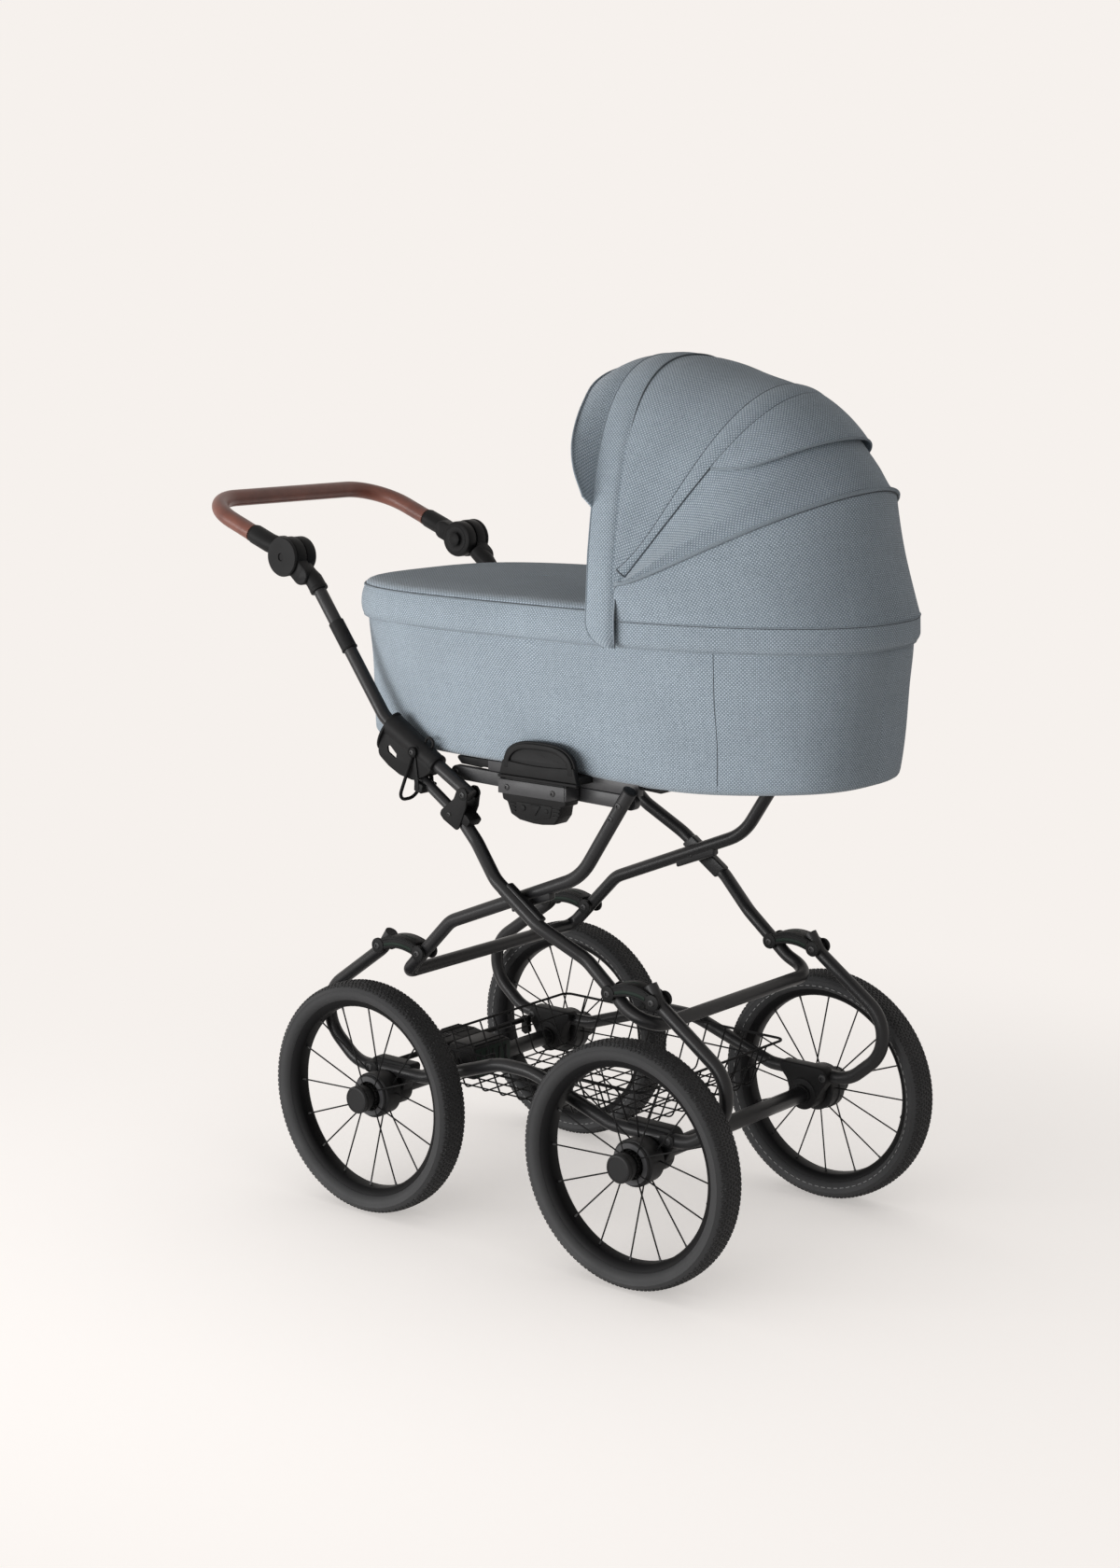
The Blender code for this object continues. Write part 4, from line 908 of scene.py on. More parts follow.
def make_outer_frame():
    bars = [tube(mirrored_path(OUTER_FRAME), TUBE_RADIUS, 28)]
    dark, steel = [], []
    for s in SIDES.values():
        y = s * FRAME_Y
        bars.append(tube([(x, s * 0.1975, z) for x, z in TONGUE], 0.0078, 24))
        bars.append(crossing_sleeve(atan2(-0.056, 0.08), s * (0.224 - 0.0035)))
        foot = (-0.1745, 0.654)
        for way in (-1, 1):
            near, far = y + way * 0.0155, y + way * 0.0172
            dark.append(plate(capsule(foot, LOOP_STUD, 0.0038), near, far, 0.0004))
            dark.append(disc(LOOP_STUD, near, far + way * 0.003, 0.0066, 28))
            steel.append(screw_head(LOOP_STUD, far + way * 0.0028, way, 0.0042))
        x, z = foot
        bridge = [(x - 0.007, z - 0.005), (x + 0.007, z - 0.009), (x + 0.011, z + 0.004),
                  (x - 0.006, z + 0.009)]
        dark.append(plate(bridge, y - 0.016, y + 0.016, 0.0012))
        rivet_y = s * 0.227
        steel.append(screw_head(CROSSING, rivet_y, s, 0.0046))
    shapes = [(bars, TUBE_COAT), (dark, PLASTIC), (steel, SCREW_STEEL)]
    return finish_piece("outer_u_tube", "outer_frame", shapes, "outer_frame")


def make_inner_frame():
    bars = [tube(mirrored_path(INNER_FRAME), TUBE_RADIUS, 28)]
    steel, dark = [], []
    for s in SIDES.values():
        y = s * FRAME_Y
        bars.append(crossing_sleeve(atan2(0.0395, 0.1), y))
        steel.append(screw_head(RAIL_FRONT, y + s * 0.0092, s, 0.005))
        steel.append(screw_head((0.18, 0.65), y + s * 0.0092, s, 0.0042))
        steel.append(screw_head(CROSSING, y - s * 0.0068, -s, 0.0046))
        dark.append(rod((0.2075, y, 0.6918), (0.2062, y, 0.6898), 0.0104, 28, bevel=0.0006))
    shapes = [(bars, TUBE_COAT), (steel, SCREW_STEEL), (dark, PLASTIC)]
    return finish_piece("inner_u_tube", "inner_frame", shapes, "inner_frame")


for piece in (make_outer_frame(), make_inner_frame()):
    print(piece.name, len(piece.data.polygons), "faces")

# %% [markdown]
# ## Rails and adapters
# A flat bar on each side ties the handle to the inner frame. It carries the seat that the
# carrycot's catch clips into: a ribbed block with a riveted strip of metal across it.

# %% Make the rails and adapters
def make_rail(side):
    s = SIDES[side]
    bar = plate(capsule(RAIL_REAR, RAIL_FRONT, 0.0102, 21), s * 0.168, s * 0.1802, 0.0012, 3)
    pin = disc(RAIL_FRONT, s * 0.1795, s * 0.199, 0.004, 18, 0)
    heads = [screw_head(RAIL_REAR, s * 0.18, s, 0.005), screw_head(RAIL_FRONT, s * 0.1682, -s, 0.0052)]
    finish_piece(f"tie_rail_{side}", "fold_rails", [(bar, FLAT_BAR), ([pin, *heads], SCREW_STEEL)],
                 f"fold_rail_{side}")


def make_adapter(side):
    s = SIDES[side]
    lower = mm((-15.5, 673), (-12, 656), (-4, 654), (3, 637), (19, 630), (44, 627.2), (60, 627.2), (83, 630),
               (92.5, 642), (95, 656), (103, 658), (105.5, 673))
    body = round_plate(lower, 0.004, s * 0.181, s * 0.2105, 0.0022, 3)
    walls = [
        block((-0.016, s * 0.181, 0.67), (0.1055, s * 0.193, 0.6895), 0.0012),
        block((-0.016, s * 0.2078, 0.67), (0.1055, s * 0.2115, 0.6895), 0.001),
        block((-0.016, s * 0.181, 0.67), (-0.0045, s * 0.2115, 0.6895), 0.0012),
        block((0.0985, s * 0.181, 0.67), (0.1055, s * 0.2115, 0.6895), 0.0012),
    ]
    face = s * 0.21
    ribs = [block((0.0015 + 0.0035 * i, face, 0.6515 - 0.0052 * i),
                  (0.0125, face + s * 0.0022, 0.6535 - 0.0052 * i), 0.0005) for i in range(3)]
    ribs += [block((0.08, face, 0.6515 - 0.0052 * i),
                   (0.093 - 0.001 * i, face + s * 0.0022, 0.6535 - 0.0052 * i), 0.0005) for i in range(3)]
    ridge = mm((12, 656), (16, 638.5), (46, 633), (76, 638.5), (80, 656))
    frame_ridge = round_plate(ridge, 0.003, face - s * 0.001, face + s * 0.0016, 0.0008)
    wedge = round_plate(mm((38, 654.5), (60, 654.5), (49, 638.5)), 0.0015, face, face + s * 0.003, 0.0008)
    knob = disc((0.027, 0.648), face, face + s * 0.003, 0.0045, 20, 0.0008)
    bead = disc((0.07, 0.648), face, face + s * 0.0026, 0.003, 20, 0.0006)
    strip = block((-0.0176, s * 0.2108, 0.6655), (0.104, s * 0.2142, 0.6862), 0.0009)
    returned = block((0.101, s * 0.183, 0.6655), (0.1065, s * 0.213, 0.6862), 0.0018)
    heads = [screw_head((x, 0.6752), s * 0.214, s, 0.0046) for x in (-0.001, 0.083)]
    shapes = [
        ([body, *walls, *ribs, frame_ridge, wedge, knob, bead], PLASTIC), ([strip, returned], FLAT_BAR),
        (heads, SCREW_STEEL),
    ]
    finish_piece(f"cot_adapter_{side}", "fold_rails", shapes, f"adapter_{side}")


for side in SIDES:
    make_rail(side)
    make_adapter(side)
print("rails and adapters made")

# %% [markdown]
# ## Hinge brackets, locks and wire loops
# The handle hinges in a forked bracket at the top of the outer frame. A catch slides on the
# handle tube, and a bent wire loop hooks round the frame's tongue to hold it.

# %% Make the hinge brackets
def make_hinge_bracket(side):
    s = SIDES[side]
    y = s * FRAME_Y
    outline = mm((-132, 619.8), (-129, 626.5), (-104.8, 645.5), (-99, 658.5), (-92, 663.5), (-81.5, 663),
                 (-78.5, 652), (-81.2, 634.2), (-96, 601), (-101, 599.5), (-124.8, 612.3))
    shapes, steel = [], []
    for way in (-1, 1):
        near, far = y + way * 0.0122, y + way * 0.015
        shapes.append(round_plate(outline, 0.006, near, far, 0.0011, 3))
        shapes.append(disc(HANDLE_PIVOT, near, far + way * 0.0006, 0.0086, 32, 0.001))
        steel.append(screw_head(HANDLE_PIVOT, far + way * 0.0004, way, 0.0046))
        steel.append(screw_head((-0.1135, 0.6215), far - way * 0.0002, way, 0.0034))
    saddle = mm((-119, 631), (-101, 633.5), (-82, 623), (-74, 615), (-82, 605), (-95, 613), (-120, 623))
    shapes.append(round_plate(saddle, 0.004, y - 0.0132, y + 0.0132, 0.0012))
    shapes.append(disc(HANDLE_PIVOT, y - 0.0135, y + 0.0135, 0.004, 16, 0))
    shapes.append(tube([(-0.119, s * 0.1975, 0.6256), (-0.097, s * 0.1975, 0.611)], 0.0112, 24))
    finish_piece(f"forked_bracket_{side}", "outer_frame", [(shapes, PLASTIC), (steel, SCREW_STEEL)],
                 f"hinge_bracket_{side}")


for side in SIDES:
    make_hinge_bracket(side)
print("hinge brackets made")

# %% [markdown]
# The catch is a sleeve with an oval flange at its mouth, a cheek on each side that hangs over
# the tongue, and a small window in the outer cheek. The window is cut with a Boolean, because
# an operator such as inset would need the cheek's faces to line up with it.

# %% Make the lock housings
def carved(edit, *tools):
    """The bmesh with other closed bmeshes cut out of it."""
    target = new_object("carved", mesh_of(edit, "carved"))
    helpers = [new_object("tool", mesh_of(tool, "tool")) for tool in tools]
    for helper in helpers:
        modifier = target.modifiers.new("cut", "BOOLEAN")
        modifier.object = helper
        modifier.operation = "DIFFERENCE"
    graph = bpy.context.evaluated_depsgraph_get()
    result = bmesh.new()
    mesh = bpy.data.meshes.new_from_object(target.evaluated_get(graph))
    result.from_mesh(mesh)
    for helper in [target, *helpers]:
        bpy.data.objects.remove(helper)
    return result


def oval_flange(centre, along, upward, half_width, half_height, thick):
    """A thin oval plate square to a tube, with rounded rims."""
    edit = bmesh.new()
    bmesh.ops.create_cone(edit, cap_ends=True, segments=56, radius1=half_width, radius2=half_width, depth=thick)
    bmesh.ops.scale(edit, vec=(half_height / half_width, 1, 1), verts=edit.verts)
    soften(edit, thick * 0.3)
    turn = Matrix((upward, along.cross(upward), along)).transposed().to_4x4()
    bmesh.ops.transform(edit, matrix=Matrix.Translation(centre) @ turn, verts=edit.verts)
    return edit


def make_lock(side):
    s = SIDES[side]
    y = s * FRAME_Y
    start, end = Vector((-0.2369, y, 0.7393)), Vector((-0.149, y, 0.6885))
    along = (end - start).normalized()
    upward = Vector((-along.z, 0, along.x))
    sleeve = rod(start, end, 0.0186, 40, 0.0148)
    outer = mm((-241, 739.2), (-148, 685.5), (-150, 678.3), (-161.8, 671), (-184.2, 663.2), (-210.4, 668.4),
               (-232.8, 679.6), (-255.2, 696.4))
    inner = outer[:6] + mm((-220, 676), (-230, 710), (-244, 725))
    window = mm((-234.5, 709), (-228.5, 710.5), (-216, 699), (-217.2, 691.5), (-233, 700.5))
    hole = round_plate(window, 0.0015, y + s * 0.01, y + s * 0.019, 0)
    wall = carved(round_plate(outer, 0.012, y + s * 0.0118, y + s * 0.015, 0.0012, 3), hole)
    shapes = [wall, round_plate(inner, 0.01, y - s * 0.0118, y - s * 0.015, 0.0012, 3)]
    for way in (-1, 1):
        shapes.append(disc(LOOP_STUD, y + way * 0.012, y + way * 0.0153, 0.01, 28, 0.001))
    shapes.append(rod(end - along * 0.004, end + along * 0.002, 0.0158, 36, bevel=0.0012))
    middle = Vector((-0.2434, y, 0.7285))
    shapes.append(oval_flange(middle, along, upward, 0.02, 0.0335, 0.004))
    shapes.append(tube(ring_points((-0.1641, 0.719), y, 0.0074), 0.0021, 12, ring=True))
    finish_piece(f"sliding_catch_{side}", "handle", [([sleeve, *shapes], PLASTIC)], f"lock_housing_{side}")


for side in SIDES:
    make_lock(side)
print("lock housings made")

# %% Make the wire loops
def make_loop(side):
    s = SIDES[side]
    y = s * FRAME_Y
    x, z = LOOP_STUD
    out = 0.0195
    corners = [
        ((x, y + out, z - 0.007), 0), ((x - 0.028, y + out, z - 0.075), 0.016),
        ((x - 0.028, y - out, z - 0.075), 0.016), ((x, y - out, z - 0.007), 0),
    ]
    wires = [tube(rounded_path(corners, radians(12)), 0.0026, 14)]
    for way in (-1, 1):
        wires.append(tube(ring_points(LOOP_STUD, y + way * out, 0.0068), 0.0015, 10, ring=True))
    finish_piece(f"bent_wire_loop_{side}", f"wire_loop_{side}", [(wires, SPOKE_WIRE)], f"wire_loop_{side}")


for side in SIDES:
    make_loop(side)
print("wire loops made")

# %% [markdown]
# ## Handle
# The handle tube slides into a socket whose disc meets the disc of the handle bar's knuckle.
# A toothed ring between them locks the tilt, and a button on the inner side frees it. The bar
# is wrapped in leather, sewn along its inside.

# %% Make the handle tubes, sockets and knuckles
def make_handle_tube(side):
    s = SIDES[side]
    y = s * FRAME_Y
    bar = tube(side_path(HANDLE_TUBE, y), TUBE_RADIUS, 28)
    ends = [Vector((-0.35, y, 0.882)), Vector((-0.3218, y, 0.8436))]
    collar = tube(ends, 0.0118, 28)
    lip = rod(ends[1] - (ends[1] - ends[0]).normalized() * 0.003, ends[1], 0.0124, 28, bevel=0.0005)
    finish_piece(f"bent_handle_tube_{side}", "handle", [(bar, TUBE_COAT), ([collar, lip], PLASTIC)],
                 f"handle_tube_{side}")


def teeth(y_from, y_to, count=30):
    """The toothed ring that shows between the two discs."""
    whole = []
    for i in range(count):
        turn = 2 * pi * i / count
        tooth = block((-0.0016, y_from, 0.0235), (0.0016, y_to, 0.0262), 0.0004, 1)
        place = Matrix.Translation((DISC[0], 0, DISC[1])) @ Matrix.Rotation(turn, 4, "Y")
        bmesh.ops.transform(tooth, matrix=place, verts=tooth.verts)
        whole.append(tooth)
    return whole


def make_socket(side):
    s = SIDES[side]
    y = s * FRAME_Y
    body = disc(DISC, s * 0.1955, s * 0.215, 0.0296, 56, 0.0024)
    neck = round_plate(capsule(DISC, (-0.408, 0.95), 0.015), 0.002, s * 0.195, s * 0.215, 0.004, 3, 60)
    line = mm((-414.5, 957), (-404, 948), (-394.5, 942), (-385, 929.9))
    arm = tube([(x, y, z) for x, z in line], 0.0136, 32)
    cuff = rod((-0.387, y, 0.9326), (-0.383, y, 0.9271), 0.014, 32, bevel=0.001)
    finish_piece(f"tilt_socket_{side}", "handle", [([body, neck, arm, cuff], PLASTIC)], f"handle_socket_{side}")


def make_knuckle(side):
    s = SIDES[side]
    body = disc(DISC, s * 0.173, s * 0.1935, 0.0285, 56, 0.004)
    seam = teeth(s * 0.1925, s * 0.195)
    axle = disc(DISC, s * 0.19, s * 0.218, 0.006, 20, 0)
    cap = spun(mm((0, 215.5), (28.6, 215.5), (30, 216.6), (30, 219), (28.6, 221.2), (6.2, 222.2), (5.4, 220.4),
                  (0, 220.4)), DISC, 56, s)
    ring = spun(mm((11.8, 172.8), (13.2, 172.2), (20, 172.2), (21.2, 173.2), (20, 174), (11.8, 174)),
                DISC, 48, s)
    neck = round_plate(capsule(DISC, (-0.474, 0.989), 0.0145), 0.002, s * 0.176, s * 0.1935, 0.003, 3, 60)
    line = mm((-464, 190, 985), (-478, 194.5, 989.5), (-488, 196.3, 992.8), (-518, 196.3, 1004.2))
    arm = [Vector((x, s * y, z)) for x, y, z in line]
    sleeve = tube(arm, 0.015, 32)
    direction = (arm[3] - arm[2]).normalized()
    cuff = rod(arm[3] - direction * 0.001, arm[3] + direction * 0.004, 0.0142, 32, bevel=0.001)
    parts = [([body, *seam, axle, cap, ring, neck, sleeve, cuff], PLASTIC)]
    finish_piece(f"tilt_knuckle_{side}", "handle_bar", parts, f"handle_knuckle_{side}")
    button = spun(mm((0, 166.8), (8.5, 166.8), (10.6, 168), (10.8, 169.2), (10.8, 179), (0, 179)), DISC, 36, s)
    finish_piece(f"tilt_button_{side}", f"handle_button_{side}", [(button, PLASTIC)], f"handle_button_{side}")


for side in SIDES:
    make_handle_tube(side)
    make_socket(side)
    make_knuckle(side)
print("handle tubes and joints made")

# %% Make the handle bar and its leather
def make_handle_bar():
    path = mirrored_path(HANDLE_BAR)
    finish_piece("handle_bar_core", "handle_bar", [(tube(path, TUBE_RADIUS, 28), TUBE_COAT)], "handle_bar_tube")
    direction = (path[1] - path[0]).normalized()
    start = path[0] + direction * 0.0255
    end = Vector((start.x, -start.y, start.z))
    line = [start] + path[1:-1] + [end]
    skin = tube(line, 0.013, 36)
    welts = []
    for tip, inward in ((start, direction), (end, Vector((direction.x, -direction.y, direction.z)))):
        welts.append(rod(tip, tip + inward * 0.0022, 0.0135, 36, bevel=0.0008))
    shift = Vector((0.0088, 0, -0.0098))
    seam = [point + shift for point in line]
    ridge = tube(seam[3:-3], 0.0009, 8)
    finish_piece("leather_wrap", "handle_bar", [([skin, *welts], LEATHER), (ridge, LEATHER)], "leather_grip")


make_handle_bar()
print("handle bar made")

# %% [markdown]
# ## Carrycot grips
# A moulded grip on each side unclips the cot. Its arch has a raised border round a sunk panel,
# and a shelf under it carries the stiffening bar of the cot's floor.

# %% Make the grips
def grip_arch(inset, count=29):
    points = []
    for i in range(count):
        turn = pi * i / (count - 1)
        c, up = cos(turn), sin(turn)
        reach, height = 0.066 - inset, 0.0415 - inset * 0.9
        points.append((0.0585 + reach * copysign(abs(c) ** 0.7, c), 0.7045 + height * up ** 0.75))
    return points


def make_grip(side):
    s = SIDES[side]
    outline = grip_arch(0.0) + [(-0.0125, 0.6915), (0.129, 0.6915)]
    face = plate(outline, s * 0.2075, s * 0.215, 0.0016, 3, 25)
    window = [(x, max(z, 0.7185 + 0.0016 * sin((x - 0.02) * 60))) for x, z in grip_arch(0.0125)]
    border = plate(grip_arch(0.003) + grip_arch(0.012)[::-1], s * 0.214, s * 0.2182, 0.0014, 3)
    sagging = [(-0.006 + 0.129 * i / 16, 0.7155 - 0.0035 * sin(pi * i / 16)) for i in range(17)]
    apron_lip = plate(sagging + [(0.129, 0.6945), (-0.0125, 0.6945)], s * 0.214, s * 0.2178, 0.0012, 3)
    lip = block((-0.014, s * 0.2085, 0.6895), (0.13, s * 0.2195, 0.694), 0.0014, 3)
    shoulder = block((-0.012, s * 0.172, 0.6915), (0.128, s * 0.21, 0.7022), 0.0016)
    tongue = block((0.002, s * 0.195, 0.683), (0.08, s * 0.206, 0.695), 0.0012)
    shapes = [face, border, apron_lip, lip, shoulder, tongue]
    panel = plate(window, s * 0.2146, s * 0.2156, 0.0003)
    strip = mm((-66, 702.2), (208, 702.2), (208, 680.4), (-66, 687.3))
    bar = plate(strip, s * 0.168, s * 0.18, 0.001)
    for x in (-0.105, 0.222):
        foot = [(x - 0.03, 0.7022), (x - 0.018, 0.69), (x + 0.02, 0.688), (x + 0.05, 0.7022)]
        shapes.append(round_plate(foot, 0.005, s * 0.146, s * 0.174, 0.002, 3))
        low, high = (0.19, 0.215) if x > 0 else (-0.09, -0.06)
        shapes.append(block((low, s * 0.16, 0.69), (high, s * 0.176, 0.7022), 0.0012))
    finish_piece(f"moulded_grip_{side}", "cot", [(shapes, PLASTIC), (panel, PLASTIC), (bar, FLAT_BAR)],
                 f"cot_catch_{side}")


for side in SIDES:
    make_grip(side)
print("cot grips made")

# %% [markdown]
# ## Cloth on a grid
# Every cloth piece is one sheet: Blender makes a flat grid with its operator, and each of its
# points is then moved onto the shape that the cloth takes. A UV map in metres is measured along
# the middle row and across it, so the weave keeps its size wherever the cloth goes. A Solidify
# modifier gives the sheet its thickness, and is applied at once.

# %% Helpers for lines and cloth
def lengths_along(points):
    """The length of the line from its start to each of its points."""
    lengths = [0.0]
    for first, second in zip(points, points[1:]):
        lengths.append(lengths[-1] + (second - first).length)
    return lengths


def even_steps(lengths, count):
    """Even steps along a line: the number of the point before each, and the share of the way to the next."""
    steps, at = [], 0
    for i in range(count):
        wanted = lengths[-1] * i / (count - 1)
        while at < len(lengths) - 2 and lengths[at + 1] < wanted:
            at += 1
        steps.append((at, (wanted - lengths[at]) / max(lengths[at + 1] - lengths[at], 1e-9)))
    return steps


def smooth_line(points, count):
    """Evenly spaced points along a Catmull-Rom curve through the given points."""
    points = [Vector(p) for p in points]
    padded_line = [points[0] * 2 - points[1]] + points + [points[-1] * 2 - points[-2]]
    fine = []
    for a, b, c, d in zip(padded_line, padded_line[1:], padded_line[2:], padded_line[3:]):
        for k in range(12):
            t = k / 12
            cubic = 3 * b - a - 3 * c + d
            fine.append(0.5 * (2 * b + (c - a) * t + (2 * a - 5 * b + 4 * c - d) * t * t + cubic * t ** 3))
    fine.append(points[-1])
    return [fine[at].lerp(fine[at + 1], share) for at, share in even_steps(lengths_along(fine), count)]


def smooth_value(table, at):
    """A smooth value between the rows (place, value) of a table."""
    table = sorted(table)
    if at <= table[0][0]:
        return table[0][1]
    for i in range(len(table) - 1):
        (x0, y0), (x1, y1) = table[i], table[i + 1]
        if at <= x1:
            width = x1 - x0
            before = after = (y1 - y0) / width
            if i:
                before = (y1 - table[i - 1][1]) / (x1 - table[i - 1][0])
            if i + 2 < len(table):
                after = (table[i + 2][1] - y0) / (table[i + 2][0] - x0)
            t = (at - x0) / width
            return (
                y0 * (2 * t ** 3 - 3 * t ** 2 + 1) + before * width * (t ** 3 - 2 * t ** 2 + t)
                + y1 * (3 * t ** 2 - 2 * t ** 3) + after * width * (t ** 3 - t ** 2)
            )
    return table[-1][1]


def row_at(table, at):
    """The table's columns at a place between its rows; the first column holds the places."""
    return [smooth_value([(row[0], row[k]) for row in table], at) for k in range(1, len(table[0]))]


def spread(low, high, count):
    return [low + (high - low) * i / (count - 1) for i in range(count)]


def thicken(piece, thickness):
    """Gives a sheet its wall, and smooths it but for its edges."""
    if thickness:
        wall = piece.modifiers.new("wall", "SOLIDIFY")
        wall.thickness = thickness
        wall.offset = -1
        settle(piece)
    piece.data.shade_smooth()
    piece.data.set_sharp_from_angle(angle=radians(50))


def cloth_sheet(name, body, surface, across, along, thickness, inside, cloth=None, closed=False, flat_uv=False):
    """A sheet whose points lie at surface(u, v) for u in across and v in along, thickened inwards.

    inside is a point behind the cloth, so that its faces can be turned outwards.
    """
    rows = [[Vector(surface(u, v)) for u in across] for v in along]
    edit = bmesh.new()
    layer = edit.loops.layers.uv.new("metres")
    columns, lines = len(across) - 1, len(along) - 1
    bmesh.ops.create_grid(edit, x_segments=columns, y_segments=lines, size=0.5, calc_uvs=False)
    index = [(round((v.co.x + 0.5) * columns), round((v.co.y + 0.5) * lines)) for v in edit.verts]
    run = lengths_along(rows[len(rows) // 2])
    rise = []
    for i in range(len(across)):
        column = lengths_along([row[i] for row in rows])
        rise.append([value - column[len(along) // 2] for value in column])
    edit.verts.index_update()
    for face in edit.faces:
        for loop in face.loops:
            i, k = index[loop.vert.index]
            loop[layer].uv = (rows[k][i].x, rows[k][i].y) if flat_uv else (run[i], rise[i][k])
    for vert, (i, k) in zip(edit.verts, index):
        vert.co = rows[k][i]
    if closed:
        bmesh.ops.remove_doubles(edit, verts=edit.verts, dist=1e-5)
    outward = 0.0
    for face in edit.faces:
        face.normal_update()
        outward += face.normal.dot(face.calc_center_median() - Vector(inside)) * face.calc_area()
    if outward < 0:
        bmesh.ops.reverse_faces(edit, faces=edit.faces)
    bmesh.ops.translate(edit, vec=MIDDLE, verts=edit.verts)
    mesh = mesh_of(edit, name)
    mesh.materials.append(cloth or COVER_CLOTH)
    piece = new_object(name, mesh)
    thicken(piece, thickness)
    if body:
        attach(piece, body)
    return piece


def stands_for(node):
    """Hides a solid, whose place a piece of the cover cloth takes."""
    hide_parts(node)


def settle(piece):
    """Applies the piece's modifiers to its mesh."""
    graph = bpy.context.evaluated_depsgraph_get()
    mesh = bpy.data.meshes.new_from_object(piece.evaluated_get(graph))
    piece.modifiers.clear()
    piece.data = mesh


def seam(name, points, radius, body, cloth=None):
    """A piping cord along points, or a thin dark line of painted seam shadow, riding on a body."""
    line = smooth_line(points, max(40, len(points)))
    return finish_piece(name, body, [(tube(line, radius, 10), cloth or COVER_CLOTH)], sharp=180)


def tucked(points):
    """The points of a hem, a little nearer to the middle of the tub."""
    return [p - Vector((p.x - 0.068, p.y * 2, 0)).normalized() * 0.001 for p in points]


print("cloth helpers ready")

# %% [markdown]
# ## The tub
# The carrycot is a stiff tub with a woven cover outside and a smooth lining inside. Its cover
# is cut as panels, sewn together at upright seams. Seen from above it is an oval that is
# squarer at the foot end, so each half has its own power in a superellipse.

# %% Set out the tub
# Level, middle x, half length, half width, squareness at the hood end and at the foot end
TUB_ROWS = [
    (0.703, 0.038, 0.432, 0.179, 2.9, 2.5),
    (0.7062, 0.0388, 0.4372, 0.1858, 2.9, 2.5),
    (0.713, 0.0395, 0.4395, 0.19, 2.9, 2.5),
    (0.76, 0.0455, 0.439, 0.199, 2.85, 2.6),
    (0.83, 0.058, 0.4315, 0.213, 2.65, 3.0),
    (0.89, 0.0655, 0.431, 0.222, 2.5, 3.35),
    (0.93, 0.0655, 0.43, 0.223, 2.45, 3.4),
]
RIM = (0.068, 0.44, 0.233, 2.35, 3.4)
WALL = 0.0018
SKIRT_LOW, SKIRT_TOP = 0.893, 0.9375
TUB_INSIDE = Vector((0.05, 0, 0.8))


def oval_point(angle, z, middle, half_length, half_width, front_power, rear_power):
    c, s = cos(angle), sin(angle)
    power = front_power if c > 0 else rear_power
    x = copysign(abs(c) ** (2 / power), c)
    y = copysign(abs(s) ** (2 / power), s)
    return Vector((middle + half_length * x, half_width * y, z))


def tub_point(angle, z, inset=0.0):
    middle, half_length, half_width, *powers = row_at(TUB_ROWS, z)
    return oval_point(angle, z, middle, half_length - inset, half_width - inset, *powers)


def even_angles(shape, count, start=0.0, end=2 * pi):
    """Angles whose points are evenly spaced along an oval."""
    fine = spread(start, end, 1441)
    run = lengths_along([oval_point(a, 0, *shape) for a in fine])
    angles = [fine[at] + share * (fine[at + 1] - fine[at]) for at, share in even_steps(run, count)]
    return angles, run[-1]


TUB_ANGLES, tub_length = even_angles(TUB_ROWS[4][1:], 181)
print("tub outline", round(tub_length, 3), "m round")

# %% Make the tub's cover, lining and floor
def ripple(angle, z, size):
    """A slow, shallow unevenness of cloth over a board."""
    return size * noise.noise(Vector((cos(angle) * 2.2, sin(angle) * 2.2, z * 9.0)))


def cover_point(angle, z):
    point = tub_point(angle, z)
    low = max(1 - (z - 0.703) / 0.06, 0) ** 2
    point.z -= 0.01 * low * exp(-((point.x - 0.27) / 0.15) ** 2)
    outward = Vector((point.x - TUB_INSIDE.x, point.y * 2.2, 0)).normalized()
    return point + outward * ripple(angle, z, 0.0011)


cover_levels = [0.703, 0.704, 0.7062, 0.7095, 0.713] + spread(0.72, 0.928, 27)
tub_cover = cloth_sheet("tub_cover", "cot", cover_point, TUB_ANGLES, cover_levels, WALL, TUB_INSIDE,
                        closed=True)
stands_for("cot_shell")
lining_levels = spread(0.715, 0.929, 22)
tub_lining = cloth_sheet("tub_lining", "cot", lambda a, z: tub_point(a, z, 0.0085), TUB_ANGLES, lining_levels,
                         -0.0012, TUB_INSIDE, LINING_CLOTH, closed=True)
rim_cord = tube([tub_point(a, 0.929, 0.005) for a in TUB_ANGLES[:-1]], 0.0046, 14, ring=True)
finish_piece("tub_rim_cord", "cot", [(rim_cord, LINING_CLOTH)])


def floor_board():
    """The stiff base, a plate with pressed ribs and a folded rim."""
    edit = bmesh.new()
    ring = [edit.verts.new(tub_point(a, 0.7045, 0.003)) for a in TUB_ANGLES[:-1]]
    face = edit.faces.new(ring)
    grown = bmesh.ops.extrude_face_region(edit, geom=[face])
    moved = [v for v in grown["geom"] if isinstance(v, bmesh.types.BMVert)]
    bmesh.ops.translate(edit, vec=(0, 0, 0.0085), verts=moved)
    return soften(tidy(edit), 0.0015)


ribs = [block((0.038 + dx - 0.004, -0.15, 0.703), (0.038 + dx + 0.004, 0.15, 0.705), 0.0008)
        for dx in (-0.3, -0.1, 0.1, 0.3)]
finish_piece("tub_floor_board", "cot", [([floor_board(), *ribs], PLASTIC)])
print("tub cover faces:", len(tub_cover.data.polygons))

# %% [markdown]
# The upright seams of the cover are where two edges were turned in and sewn. Each shows as a
# narrow dark groove with a slightly raised fold beside it, so a thin line of dark cloth is laid
# on the cloth as the groove's painted shadow.

